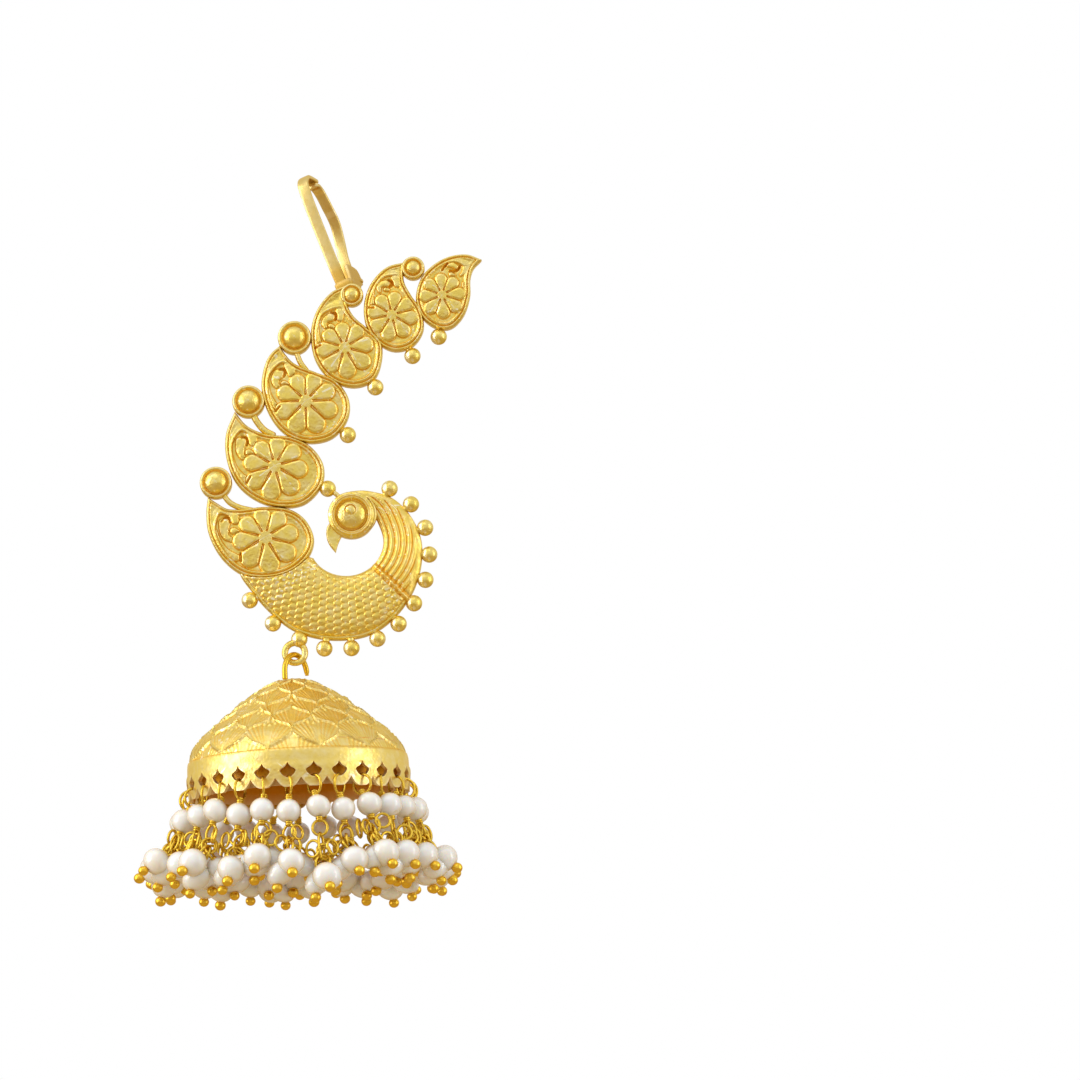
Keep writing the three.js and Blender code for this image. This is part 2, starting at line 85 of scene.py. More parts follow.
FLOOR_HEIGHT = -0.9              # the floor and the lights are given in metres
FLOOR_HALF = 6
floor_mesh = bpy.data.meshes.new("floor")
floor_mesh.from_pydata(
    [(x * FLOOR_HALF, y * FLOOR_HALF, FLOOR_HEIGHT)
     for x, y in ((-1, -1), (1, -1), (1, 1), (-1, 1))], [], [(0, 1, 2, 3)])
floor = bpy.data.objects.new("floor", floor_mesh)
scene.collection.objects.link(floor)
paper = bpy.data.materials.new("pale_paper")
paper.use_nodes = True
tree = paper.node_tree
face = tree.nodes["Principled BSDF"]
set_sockets(face, Base_Color=(0.9, 0.9, 0.9, 1), Roughness=0.9)
dim = new_node(tree, "BsdfDiffuse", Color=(0.62, 0.47, 0.27, 1))   # what the metal sees of it
ray = new_node(tree, "LightPath")
seen = new_node(tree, "MixShader")
join_nodes(tree, (ray, "Is Camera Ray", seen, "Fac"), (dim, "BSDF", seen, 1),
           (face, "BSDF", seen, 2), (seen, "Shader", tree.nodes["Material Output"], "Surface"))
floor_mesh.materials.append(paper)

world = bpy.data.worlds.new("studio")
world.use_nodes = True
scene.world = world
sky = world.node_tree
sky.nodes.clear()
direction = new_node(sky, "TexCoord")
height = new_node(sky, "SeparateXYZ")
shade = new_node(sky, "MapRange", From_Min=-0.45, From_Max=0.55, To_Min=0.76, To_Max=0.84)
room = new_node(sky, "Background", Color=(1, 1, 1, 1))
white = new_node(sky, "Background", Color=(1, 1, 1, 1))
ray = new_node(sky, "LightPath")
seen = new_node(sky, "MixShader")
sky_out = new_node(sky, "OutputWorld")
join_nodes(sky, (direction, "Generated", height, "Vector"), (height, "Z", shade, "Value"),
           (shade, "Result", room, "Strength"), (ray, "Is Camera Ray", seen, "Fac"),
           (room, "Background", seen, 1), (white, "Background", seen, 2),
           (seen, "Shader", sky_out, "Surface"))

# Each soft box: where it stands, the width and height of its face and its power in watts.
SOFT_BOXES = {
    "soft_box_left": ((-0.62, -0.22, 0.16), (0.4, 0.7), 2.9),
    "soft_box_right": ((0.70, -0.25, 0.10), (0.2, 0.7), 1.2),
    "soft_box_top": ((-0.12, -0.45, 0.75), (0.5, 0.35), 0.6),
}
for name, (place, (wide, tall), power) in SOFT_BOXES.items():
    light = bpy.data.lights.new(name, "AREA")
    light.shape = "RECTANGLE"
    light.size = wide
    light.size_y = tall
    light.energy = power
    box = bpy.data.objects.new(name, light)
    box.location = place
    box.rotation_euler = (-box.location).to_track_quat("-Z", "Y").to_euler()
    box.visible_camera = False
    scene.collection.objects.link(box)

# ---- the six paisley leaves ----
# Each leaf is a thick cast plate with a doubled border, a sunk floor and an eight-petalled
# flower. A curl and a small lobe fill the way to the tip, and a bar follows the hollow edge.
# They are cast in one with the rest of the frame, then plated a satin yellow gold.


def smooth_line(points, steps):
    """A smooth curve through the points, as evenly spaced points."""
    p = np.array(points, float)
    p = np.vstack([2 * p[0] - p[1], p, 2 * p[-1] - p[-2]])
    gaps = np.linalg.norm(np.diff(p, axis=0), axis=1) ** 0.5
    t = np.linspace(0, 1, 24, endpoint=False)[:, None]
    runs = []
    for i in range(len(points) - 1):
        a, b, c, d = p[i:i + 4]
        g0, g1, g2 = gaps[i:i + 3]
        m1 = ((b - a) / g0 - (c - a) / (g0 + g1) + (c - b) / g1) * g1
        m2 = ((c - b) / g1 - (d - b) / (g1 + g2) + (d - c) / g2) * g1
        runs.append(b + m1 * t + (3 * (c - b) - 2 * m1 - m2) * t ** 2
                    + (2 * (b - c) + m1 + m2) * t ** 3)
    dense = np.vstack([*runs, p[-2]])
    along = np.r_[0, np.cumsum(np.linalg.norm(np.diff(dense, axis=0), axis=1))]
    even = np.linspace(0, along[-1], steps + 1)
    return np.stack([np.interp(even, along, dense[:, k]) for k in range(dense.shape[1])], axis=1)


def nearest(points, line):
    """Each point's distance to the line, and how far along the line that is, from 0 to 1."""
    best = np.full(len(points), np.inf)
    share = np.zeros(len(points))
    runs = len(line) - 1
    for k in range(runs):
        run = line[k + 1] - line[k]
        t = np.clip((points - line[k]) @ run / (run @ run), 0, 1)
        gap = np.linalg.norm(points - line[k] - t[:, None] * run, axis=1)
        closer = gap < best
        best[closer] = gap[closer]
        share[closer] = (k + t[closer]) / runs
    return best, share


def ease(low, high, x):
    t = np.clip((x - low) / (high - low), 0, 1)
    return t * t * (3 - 2 * t)


def bump(x, width):
    return np.exp(-(x / width) ** 2)


def mix(first, second, share):
    return first * (1 - share) + second * share


def rounded_off(gap, width):
    """How far a rim is rounded down at each distance from it, from 1 at the rim to 0."""
    return np.clip(1 - gap / width, 0, 1) ** 2


def band_faces(rows, around, first=0, closed=True):
    """Quads between the rows of a band, each row going once round."""
    i = np.arange(rows - 1)[:, None] * around + first
    j = np.arange(around if closed else around - 1)[None, :]
    k = (j + 1) % around
    return np.stack(
        [i + j, i + k, i + around + k, i + around + j], axis=-1).reshape(-1, 4).tolist()


def fan_faces(centre, first, around):
    return [(centre, first + j, first + (j + 1) % around) for j in range(around)]


def stood(flat, forward):
    """Flat (x, z) points stood up, forward of the flat back."""
    return np.c_[flat[:, 0], np.zeros(len(flat)) - forward, flat[:, 1]]


WELD_WITHIN = 5e-7               # metres


def add_piece(name, points, faces, material, body, nodes,
              painted_shade=None, crease=180, weld=False):
    """Makes a piece from points in millimetres. The first points get the painted shade given, from
    0 to 1, and the rest get none. Edges sharper than crease degrees are left hard."""
    mesh = bpy.data.meshes.new(name)
    mesh.from_pydata((np.asarray(points) * MM).tolist(), [], faces)
    if painted_shade is not None:
        shade_paint = mesh.attributes.new("painted_shade", "FLOAT", "POINT")
        level = np.zeros(len(points) - len(painted_shade))
        shade_paint.data.foreach_set("value", np.r_[painted_shade, level].astype(np.float32))
    work = bmesh.new()
    work.from_mesh(mesh)
    if weld:
        bmesh.ops.remove_doubles(work, verts=work.verts, dist=WELD_WITHIN)
    bmesh.ops.recalc_face_normals(work, faces=work.faces)
    work.to_mesh(mesh)
    work.free()
    mesh.shade_smooth()
    if crease < 180:
        mesh.set_sharp_from_angle(angle=math.radians(crease))
    mesh.materials.append(material)
    piece = bpy.data.objects.new(name, mesh)
    scene.collection.objects.link(piece)
    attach(piece, body)
    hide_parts(*nodes)


def gilding_group():
    """Plated gold: its colour drifts a little, takes a painted orange shade in hollows and a pale
    painted highlight on sharp edges. It puts out a colour, a roughness and the height of a fine
    grain."""
    group = bpy.data.node_groups.new("gilding", "ShaderNodeTree")
    for name, kind, value in (("Colour", "Color", (0.8, 0.55, 0.2, 1)),
                              ("Hollow Colour", "Color", (0.6, 0.3, 0.03, 1)),
                              ("Worn Colour", "Color", (0.95, 0.8, 0.45, 1)),
                              ("Painted Shade", "Float", 0.0), ("Roughness", "Float", 0.4),
                              ("Grain Scale", "Float", 4000.0)):
        socket = group.interface.new_socket(
            name=name, in_out="INPUT", socket_type="NodeSocket" + kind)
        socket.default_value = value
    for name, kind in (("Colour", "Color"), ("Roughness", "Float"), ("Height", "Float")):
        group.interface.new_socket(name=name, in_out="OUTPUT", socket_type="NodeSocket" + kind)
    given = group.nodes.new("NodeGroupInput")
    out = group.nodes.new("NodeGroupOutput")
    place = new_node(group, "TexCoord")
    grain = new_node(group, "TexNoise", Detail=4)
    drift = new_node(group, "TexNoise", Scale=900, Detail=3)
    drifting = new_node(group, "MapRange", From_Min=0.42, From_Max=0.7, To_Max=0.28)
    shape = new_node(group, "NewGeometry")
    # Painted highlight: sharp edges, found by their pointiness, are paled.
    edge = new_node(group, "MapRange", From_Min=0.53, From_Max=0.62, To_Max=0.75)

    def mixed(share, first, second):
        mix = new_node(group, "Mix")
        mix.data_type = "RGBA"
        group.links.new(share, mix.inputs["Factor"])
        group.links.new(first, mix.inputs["A"])
        group.links.new(second, mix.inputs["B"])
        return mix.outputs["Result"]

    def sum_node(operation, second):
        node = new_node(group, "Math")
        node.operation = operation
        node.inputs[1].default_value = second
        return node

    patch_and_highlight = given.outputs["Worn Colour"]
    drifted = mixed(drifting.outputs["Result"], given.outputs["Colour"], patch_and_highlight)
    # The painted shade goes into hollows, then the painted highlight onto sharp edges.
    shade_paint = mixed(given.outputs["Painted Shade"], drifted, given.outputs["Hollow Colour"])
    group.links.new(mixed(edge.outputs["Result"], shade_paint, patch_and_highlight), out.inputs["Colour"])
    spread = sum_node("MULTIPLY_ADD", 0.25)      # the grain makes the gloss uneven
    rough = sum_node("SUBTRACT", 0.12)
    dull = sum_node("MULTIPLY_ADD", 0.3)         # and hollows are duller
    join_nodes(group, (place, "Object", grain, "Vector"), (place, "Object", drift, "Vector"),
               (given, "Grain Scale", grain, "Scale"), (shape, "Pointiness", edge, "Value"),
               (drift, "Fac", drifting, "Value"), (grain, "Fac", spread, 0),
               (given, "Roughness", spread, 2), (spread, "Value", rough, 0),
               (given, "Painted Shade", dull, 0), (rough, "Value", dull, 2),
               (dull, "Value", out, "Roughness"), (grain, "Fac", out, "Height"))
    return group


gilding = gilding_group()


def gold_material(name, colour, shade_colour, patch_and_highlight_colour, roughness, grain_scale, grain_height):
    """A gold finish from the gilding group. Its painted shade follows the mesh's own attribute."""
    material = bpy.data.materials.new(name)
    material.use_nodes = True
    tree = material.node_tree
    shader = tree.nodes["Principled BSDF"]
    skin = tree.nodes.new("ShaderNodeGroup")
    skin.node_tree = gilding
    set_sockets(skin, Colour=(*colour, 1), Hollow_Colour=(*shade_colour, 1),
                Worn_Colour=(*patch_and_highlight_colour, 1), Roughness=roughness, Grain_Scale=grain_scale)
    painted_shade = new_node(tree, "Attribute")
    painted_shade.attribute_name = "painted_shade"
    relief = new_node(tree, "Bump", Strength=0.6, Distance=grain_height * MM)
    join_nodes(tree, (painted_shade, "Fac", skin, "Painted Shade"), (skin, "Colour", shader, "Base Color"),
               (skin, "Roughness", shader, "Roughness"), (skin, "Height", relief, "Height"),
               (relief, "Normal", shader, "Normal"))
    set_sockets(shader, Metallic=1, Specular_Tint=(0.97, 0.78, 0.42, 1), Coat_Weight=0.2,
                Coat_Roughness=0.3)
    return material


# Each gold gives its colour, the painted shade's colour and the colour of pale patches and painted
# highlights.
cast_gold = gold_material(
    "cast_gold", (0.86, 0.655, 0.135), (0.82, 0.42, 0.01), (0.97, 0.90, 0.66), 0.33, 2300, 0.17)


def cast_piece(name, points, faces, painted_shade=None):
    """A piece cast in one with the frame, or soldered to it and plated with it."""
    add_piece(name, points, faces, cast_gold, "cuff", ["cuff_frame"], painted_shade)


BORDER_WIDE = 0.85
BORDER_TOP = 2.06                # heights are forward of the flat back
GROOVE_PLACE = 0.43              # from the rim, between the border's two threads
GROOVE_DEEP = 0.2
RIM_CLEAR = 0.5                  # how far petals and strokes stay from the rim
SIDE = (-0.055, 0.04)            # where a raised shape's side starts and is at full height
FLOOR_TOP = 1.55
PETAL_RISE = 0.26
STROKE_TOP = 1.92
HOOK_DEEP = 0.4
HOOK_HALF = 0.12
PETALS = 8
PETAL_PITCH = 2 * math.pi / PETALS
EDGE_STEPS = 310
TURN_COUNTS = 0.7
BACK_STEP = 0.06                 # the backs of neighbours are not quite level
RINGS = np.r_[np.linspace(0, 0.76, 46), np.linspace(0.77, 1, 29)]

# Each leaf: its flower's middle, petal length, how much longer the low petals are and the
# flower's turn, how far the sunk floor reaches, its edge from the tip and round the belly, the
# raised strokes beside the flower as a line with its half width at each end, and the hooks cut
# at the curl's head and the bar's foot.
LEAVES = {
    "leaf_1": dict(
        flower=(-4.15, 6.1), petal=4.4, droop=0.5, turn=9, reach=6.9,
        edge=[(-11.85, 11.55), (-12.05, 9.2), (-11.65, 6.4), (-9.85, 3.2), (-7.1, 1.1), (-3.9, 0.7),
              (-0.8, 1.5), (1.7, 3.7), (2.3, 6.0), (1.15, 8.5), (-0.9, 9.9), (-4.3, 10.25),
              (-7.6, 9.9), (-9.3, 10.0), (-10.55, 10.7)],
        strokes=[([(-9.6, 8.0), (-9.65, 7.1), (-9.38, 6.2), (-8.7, 5.75)], 0.74, 0.28),
                 ([(-8.6, 9.6), (-8.35, 8.9), (-8.2, 8.35)], 0.75, 0.5),
                 ([(-8.35, 6.95), (-8.0, 6.75)], 0.45, 0.4),
                 ([(-10.75, 7.0), (-10.25, 5.6), (-9.3, 4.2), (-8.0, 3.35)], 0.12, 0.46)],
        hooks=[[(-10.0, 8.25), (-9.55, 8.75), (-9.05, 8.65), (-8.9, 8.1)],
               [(-7.4, 3.9), (-7.35, 2.9)]]),
    "leaf_2": dict(
        flower=(-2.95, 15.7), petal=4.3, droop=0.4, turn=37.5, reach=6.6,
        edge=[(-8.35, 23.1), (-9.5, 20.0), (-9.4, 16.7), (-8.1, 13.45), (-5.6, 11.25), (-2.4, 10.2),
              (1.0, 10.65), (3.3, 13.1), (3.55, 15.8), (1.9, 18.3), (-0.8, 19.65), (-4.3, 20.1),
              (-6.7, 21.2)],
        strokes=[([(-7.45, 18.9), (-7.6, 17.8), (-7.3, 16.95), (-7.0, 16.7)], 0.74, 0.28),
                 ([(-6.1, 20.2), (-5.9, 19.3), (-5.85, 18.9)], 0.66, 0.55),
                 ([(-6.4, 17.5), (-6.15, 17.35)], 0.45, 0.4),
                 ([(-8.75, 17.2), (-8.25, 15.5), (-7.4, 14.35), (-6.65, 13.8)], 0.12, 0.46)],
        hooks=[[(-7.4, 19.6), (-6.8, 19.5), (-6.62, 19.0), (-6.75, 18.5)],
               [(-6.2, 14.2), (-6.65, 13.4)]]),
    "leaf_3": dict(
        flower=(1.15, 24.45), petal=4.25, droop=0.4, turn=24, reach=6.15,
        edge=[(-2.4, 32.0), (-3.5, 31.0), (-4.25, 29.7), (-4.8, 26.6), (-4.0, 23.2), (-1.9, 20.3),
              (1.2, 18.9), (4.6, 19.5), (6.7, 22.0), (6.9, 24.7), (5.2, 27.2), (2.5, 28.4),
              (-0.4, 29.6), (-1.6, 30.8)],
        strokes=[([(-2.5, 28.1), (-2.95, 27.4), (-2.85, 26.7), (-2.4, 26.25)], 0.7, 0.26),
                 ([(-1.1, 29.3), (-0.85, 28.5), (-0.7, 28.1)], 0.66, 0.48),
                 ([(-1.75, 26.8), (-1.4, 26.6)], 0.4, 0.36),
                 ([(-3.95, 26.9), (-3.75, 25.5), (-3.25, 24.3), (-2.75, 23.65)], 0.1, 0.36)],
        hooks=[[(-2.4, 28.75), (-1.75, 28.75), (-1.6, 28.3), (-1.85, 27.8)],
               [(-2.3, 23.7), (-2.85, 23.1)]]),
    "leaf_4": dict(
        flower=(6.3, 31.7), petal=3.85, droop=0.4, turn=7, reach=5.45,
        edge=[(6.3, 40.2), (4.4, 39.2), (2.5, 36.7), (1.75, 33.6), (2.4, 30.0), (4.6, 27.3),
              (7.7, 26.4), (10.2, 27.4), (11.25, 30.0), (11.1, 32.7), (9.3, 34.4), (7.5, 36.0),
              (6.6, 37.7)],
        strokes=[([(4.4, 35.8), (3.85, 35.5), (3.55, 34.95), (3.75, 34.4)], 0.55, 0.22),
                 ([(5.6, 36.6), (5.7, 36.0), (5.7, 35.6)], 0.5, 0.4),
                 ([(4.45, 34.6), (4.8, 34.4)], 0.32, 0.28),
                 ([(2.7, 35.0), (2.7, 33.6), (2.9, 32.5)], 0.1, 0.26)],
        hooks=[[(4.5, 36.45), (5.1, 36.3), (5.2, 35.9), (5.0, 35.45)],
               [(3.1, 32.0), (2.4, 31.6)]]),
    "leaf_5": dict(
        flower=(12.6, 36.1), petal=3.4, droop=0.2, turn=36, reach=5.35,
        edge=[(14.2, 43.35), (11.85, 42.65), (9.8, 40.5), (8.85, 37.6), (9.15, 34.7), (10.7, 32.4),
              (12.9, 31.3), (15.3, 31.9), (16.8, 34.1), (16.5, 36.8), (15.2, 38.8), (14.2, 40.8)],
        strokes=[([(11.85, 40.4), (11.3, 40.3), (10.85, 39.85), (10.95, 39.3)], 0.46, 0.2),
                 ([(13.0, 41.1), (13.2, 40.6), (13.25, 40.2)], 0.46, 0.36),
                 ([(11.75, 39.55), (12.1, 39.5)], 0.24, 0.22),
                 ([(10.15, 39.6), (9.95, 38.5), (10.0, 37.6)], 0.1, 0.24)],
        hooks=[[(12.1, 40.85), (12.6, 40.55), (12.65, 40.2), (12.3, 39.95)],
               [(9.5, 37.1), (10.2, 37.05)]]),
    "leaf_6": dict(
        flower=(19.3, 38.8), petal=3.1, droop=0.15, turn=4, reach=4.9,
        edge=[(24.6, 43.7), (22.6, 44.4), (20.2, 44.1), (18.0, 42.9), (16.4, 41.0), (15.8, 38.1),
              (16.75, 35.7), (18.7, 34.35), (20.5, 34.4), (22.15, 36.05), (23.05, 38.8),
              (23.1, 41.2), (23.5, 42.5)],
        strokes=[([(20.3, 43.0), (20.9, 42.8), (21.2, 42.6)], 0.4, 0.3),
                 ([(22.4, 42.5), (22.2, 41.9), (21.8, 41.5)], 0.34, 0.15),
                 ([(20.5, 41.6), (20.9, 41.4)], 0.28, 0.24),
                 ([(22.3, 40.4), (22.15, 39.9)], 0.28, 0.2)],
        hooks=[[(19.3, 42.2), (19.6, 42.6), (20.0, 43.1)],
               [(20.3, 42.1), (21.2, 42.1), (21.7, 42.7)]]),
}


def flower_heights(points, row):
    """How far inside a petal each point is, in millimetres, and the fine thread in the slits."""
    x, z = (points - np.array(row["flower"])).T
    out = np.hypot(x, z)
    angle = np.arctan2(z, x) - math.radians(row["turn"])
    aside = (angle + PETAL_PITCH / 2) % PETAL_PITCH - PETAL_PITCH / 2
    petal_way = angle - aside + math.radians(row["turn"])
    petal = row["petal"] + row["droop"] * np.cos(petal_way + 1.4)
    along, across = out * np.cos(aside), np.abs(out * np.sin(aside))
    end = 0.275 * petal              # the half width, and the radius of the round end
    swell = petal - end
    share = np.clip(along / swell, 0, 1)
    half = end * share ** 1.3 - 0.05 * (1 - share) + 0.07 * bump(share - 0.72, 0.22)
    inside = np.where(along < swell, half - across, end - np.hypot(along - swell, across))
    eye = 0.2 * petal - out
    seam = out * np.sin(PETAL_PITCH / 2 - np.abs(aside))
    thread = bump(seam, 0.06) * ease(0.22, 0.27, out / petal) * (1 - ease(0.42, 0.56, out / petal))
    return np.maximum(inside, eye), thread


def leaf_heights(points, row, edge):
    """The front of a leaf over each point, forward of the back, and how much painted shade it gets.
    """
    middle = np.array(row["flower"])
    from_edge, _ = nearest(points, np.vstack([edge, edge[:1]]))
    from_inner = from_edge - BORDER_WIDE
    out = np.linalg.norm(points - middle, axis=1)
    round_end = row["reach"] - out
    gap = 0.5 * (from_inner + round_end - np.sqrt((from_inner - round_end) ** 2 + 0.12))
    border = BORDER_TOP - GROOVE_DEEP * bump(from_edge - GROOVE_PLACE, 0.075)
    border = border + 0.1 * bump(gap + 0.18, 0.1)
    border -= 0.6 * rounded_off(from_edge, 0.22)
    border -= 0.2 * ease(0.35, 1.3, np.minimum(from_edge, -gap))
    dish = FLOOR_TOP + 0.55 * np.clip(1 - (out / 6.0) ** 2, 0, 1)
    floor = dish - 0.08 * bump(gap - 0.1, 0.2) + 0.22 * ease(0.7, 0.0, gap)
    inside = ease(-0.08, 0.08, gap)
    petal, thread = flower_heights(points, row)
    petal = np.minimum(petal, from_edge - RIM_CLEAR)
    strokes = np.full(len(points), -9.0)
    for number, (line, start, end) in enumerate(row["strokes"]):
        away, share = nearest(points, smooth_line(line, 12))
        stroke = start + (end - start) * share - away
        stroke = np.minimum(stroke, -np.maximum(petal, strokes) - 0.13)
        # The second stroke is the lobe, which runs onto the border.
        room = from_edge - RIM_CLEAR if number == 1 else gap - 0.05
        strokes = np.maximum(strokes, np.minimum(stroke, room))
    hooks = np.zeros(len(points))
    for line in row["hooks"]:
        away, _ = nearest(points, smooth_line(line, 12))
        hooks = np.maximum(hooks, bump(away, HOOK_HALF))
    round_top = 0.1 * ease(0.0, 0.3, petal) * ease(0.9, 1.9, out)
    petal_top = dish + PETAL_RISE + round_top + 0.12 * ease(0.4, -0.4, gap)
    stroke_top = np.maximum(dish + 0.3, STROKE_TOP) + 0.06 * ease(0.0, 0.4, strokes)
    on_petal, on_stroke = ease(*SIDE, petal), ease(*SIDE, strokes)
    tall = mix(mix(mix(border, floor, inside), petal_top, on_petal), stroke_top, on_stroke)
    raised = np.maximum(on_petal, on_stroke)
    tall += 0.18 * thread * (1 - raised) - HOOK_DEEP * hooks
    # Painted shade: in creases round the petals, strokes and floor, in the hooks and in the
    # border's groove.
    crease = bump(np.maximum(petal, strokes) + 0.06, 0.085) + 0.7 * bump(gap - 0.03, 0.1)
    crease = np.clip(crease, 0, 1)
    shade_paint = inside * (1 - 0.9 * raised) * (1 - 0.7 * thread) * crease
    shade_paint = shade_paint + (1 - inside) * (1 - raised) * 0.8 * bump(from_edge - GROOVE_PLACE, 0.08)
    return tall, np.clip(np.maximum(shade_paint, hooks), 0, 1)


for leaf_name, row in LEAVES.items():
    middle = np.array(row["flower"])
    fine = smooth_line([*row["edge"], row["edge"][0]], 6 * EDGE_STEPS)
    turn = np.unwrap(np.arctan2(fine[:, 1] - middle[1], fine[:, 0] - middle[0]))
    # Steps that are even along the rim bunch where it runs toward the flower, so turn counts too.
    spread = np.linspace(0, 1, len(fine)) + TURN_COUNTS * abs(turn - turn[0]) / math.tau
    even = np.linspace(0, spread[-1], EDGE_STEPS + 1)[:-1]
    edge = np.stack([np.interp(even, spread, fine[:, k]) for k in (0, 1)], axis=1)
    flat = [middle + (edge - middle) * share for share in RINGS[1:]]
    spots = np.vstack([middle[None], *flat])
    tall, shade_paint = leaf_heights(spots, row, edge)
    rear = BACK_STEP * (int(leaf_name[-1]) % 2)
    back = [stood(middle + (edge - middle) * share, forward)
            for share, forward in ((1, 0.15), (0.975, rear), (0.5, rear))]
    points = np.vstack([stood(spots, tall), *back, [[middle[0], -rear, middle[1]]]])
    rows = len(RINGS) - 1 + len(back)
    faces = fan_faces(0, 1, EDGE_STEPS) + band_faces(rows, EDGE_STEPS, 1)
    faces += fan_faces(len(points) - 1, 1 + (rows - 1) * EDGE_STEPS, EDGE_STEPS)
    cast_piece(leaf_name, points, faces, shade_paint)

# ---- the five round bosses and their bars ----
# A boss sits in the notch above each of the first five leaves: a sloped ring with a high round
# knob in it. Three thin cast bars tie the lower ones to the leaves beside them.

BOSSES = [  # middle, ring radius, knob radius
    ((-10.8, 13.5), 2.15, 1.5),
    ((-6.52, 24.45), 2.17, 1.5),
    ((-0.42, 33.1), 2.24, 1.5),
    ((7.2, 38.9), 1.55, 0.98),
    ((15.4, 42.55), 1.55, 0.95),
]
KNOB_FOOT = 1.85
KNOB_TALL = 0.74                 # of the knob's radius
BOSS_AROUND = 72
BAR_FORWARD = 0.95
BAR_HALF_DEEP = 0.72
BARS = [  # the line it follows, its width
    ([(-9.9, 12.1), (-9.0, 10.95), (-7.7, 10.25), (-5.6, 9.75)], 0.75),
    ([(-6.1, 23.1), (-5.35, 21.75), (-4.4, 20.65), (-3.1, 19.9)], 0.9),
    ([(-0.2, 31.3), (0.35, 29.85), (1.25, 28.6)], 0.75),
]


def circle(steps):
    """Points evenly round a circle of radius 1."""
    turn = np.linspace(0, 2 * math.pi, steps, endpoint=False)
    return np.c_[np.cos(turn), np.sin(turn)]


def ring_faces(first, second, around):
    """Quads between two rings, from where the points of each begin."""
    return [(first + j, first + (j + 1) % around, second + (j + 1) % around, second + j)
            for j in range(around)]


def capped(rings, first_end, last_end):
    """A closed solid from rings of points, with a point to close each end."""
    around = len(rings[0])
    points = np.vstack([*rings, first_end, last_end])
    faces = band_faces(len(rings), around)
    faces += fan_faces(len(points) - 2, 0, around)
    faces += fan_faces(len(points) - 1, (len(rings) - 1) * around, around)
    return points, faces


def turned(profile, around):
    """A closed solid turned about the forward axis, from (radius, forward) back to front."""
    rings = [stood(r * circle(around), forward) for r, forward in profile]
    return capped(rings, (0, -profile[0][1], 0), (0, -profile[-1][1], 0))


def swept(line, across, deep, lift, around=16, square=1.0, closed=False):
    """A rod along a flat curve. lift is square to the curve's plane. across and deep are the
    half sizes in the plane and along lift, and square sharpens the round section."""
    line = np.asarray(line, float)
    lift = np.asarray(lift, float)
    steps = len(line)
    if closed:
        run = np.roll(line, -1, 0) - np.roll(line, 1, 0)
    else:
        run = np.gradient(line, axis=0)
    run /= np.linalg.norm(run, axis=1)[:, None]
    side = np.cross(run, lift)
    side /= np.linalg.norm(side, axis=1)[:, None]
    section = circle(around).T
    c, s = np.sign(section) * np.abs(section) ** square
    across = np.broadcast_to(across, steps)
    deep = np.broadcast_to(deep, steps)
    rings = (line[:, None] + side[:, None] * c[None, :, None] * across[:, None, None]
             + lift * s[None, :, None] * deep[:, None, None])
    points = rings.reshape(-1, 3)
    faces = band_faces(steps, around)
    if closed:
        return points, faces + ring_faces((steps - 1) * around, 0, around)
    size = min(across[0], deep[0], across[-1], deep[-1])
    ends = []
    for ring, way in ((rings[0], -run[0]), (rings[-1], run[-1])):
        middle = ring.mean(axis=0)
        ends.append(middle + (ring - middle) * 0.75 + way * size * 0.3)
        ends.append((middle + way * size * 0.36)[None])
    points = np.vstack([points, *ends])
    first = steps * around
    for ring_start, cap in ((0, first), ((steps - 1) * around, first + around + 1)):
        faces += ring_faces(ring_start, cap, around) + fan_faces(cap + around, cap, around)
    return points, faces


for number, (middle, ring, knob) in enumerate(BOSSES, 1):
    up = np.linspace(0, 1, 26)[:-1] * math.pi / 2
    profile = [(ring - 0.1, 0.2), (ring, 0.3), (ring, 1.6), (ring - 0.04, 1.85),
               (ring - 0.13, 2.03), (ring - 0.26, 2.1), (ring - 0.38, 2.03), (knob + 0.14, 1.94),
               (knob + 0.07, 1.88), (knob + 0.02, 1.84)]
    profile += [(knob * math.cos(a), KNOB_FOOT + KNOB_TALL * knob * math.sin(a)) for a in up[1:]]
    profile.append((0.01, KNOB_FOOT + KNOB_TALL * knob))
    points, faces = turned(profile, BOSS_AROUND)
    # Painted shade in the groove round the knob.
    groove_shade = [0.7 * bump(r - knob - 0.06, 0.12) * (f > 1) for r, f in profile]
    cast_piece(f"boss_{number}", points + (middle[0], 0, middle[1]), faces,
               np.repeat(groove_shade, BOSS_AROUND))

for number, (line, width) in enumerate(BARS, 1):
    path = stood(smooth_line(line, 24), BAR_FORWARD)
    cast_piece(f"boss_bar_{number}", *swept(path, width / 2, BAR_HALF_DEEP, (0, 1, 0), 20, 0.7))

# ---- the peacock's body and neck ----
# One domed crescent, thick in the belly and thin at both ends. The belly is cut with small
# overlapping scales that point at the tail, a raised collar crosses it, and long feathers run
# from the collar up the neck to the head. It is cast in one with the leaves.

HOLLOW_MIDDLE = np.array((6.7, 6.0))     # the round opening inside the crescent
HOLLOW_RADIUS = 4.93
HEAD = (7.3, 9.13)
HEAD_RADIUS = 3.13
BODY_EDGE = [(-3.6, 5.3), (-6.3, 3.3), (-7.6, 1.7), (-5.85, -1.2), (-3.5, -3.9), (0, -6.5),
             (5.1, -7.6), (10.0, -6.8), (13.7, -3.9), (16.1, 0.3), (16.7, 5.3), (15.3, 8.9),
             (12.7, 11.5), (9.1, 12.5), (7.1, 12.4)]
COLLAR_TURN = math.radians(-45)
EDGE_BACK = 0.12
BODY_AROUND = 590
BODY_ACROSS = 100
SCALE_LONG = 0.95
SCALE_WIDE = 0.86
SCALE_CENTRE = np.array((5.0, 32.0))     # the rows are arcs about this point
SCALE_ARC = 34                   # their radius
SCALE_TALL = 0.24
FEATHER = 0.78
FEATHER_TALL = 0.23
UNDER_LEAF = 1.0                 # how far forward the body is under the leaf and the head
UNDER_HEAD = 1.1


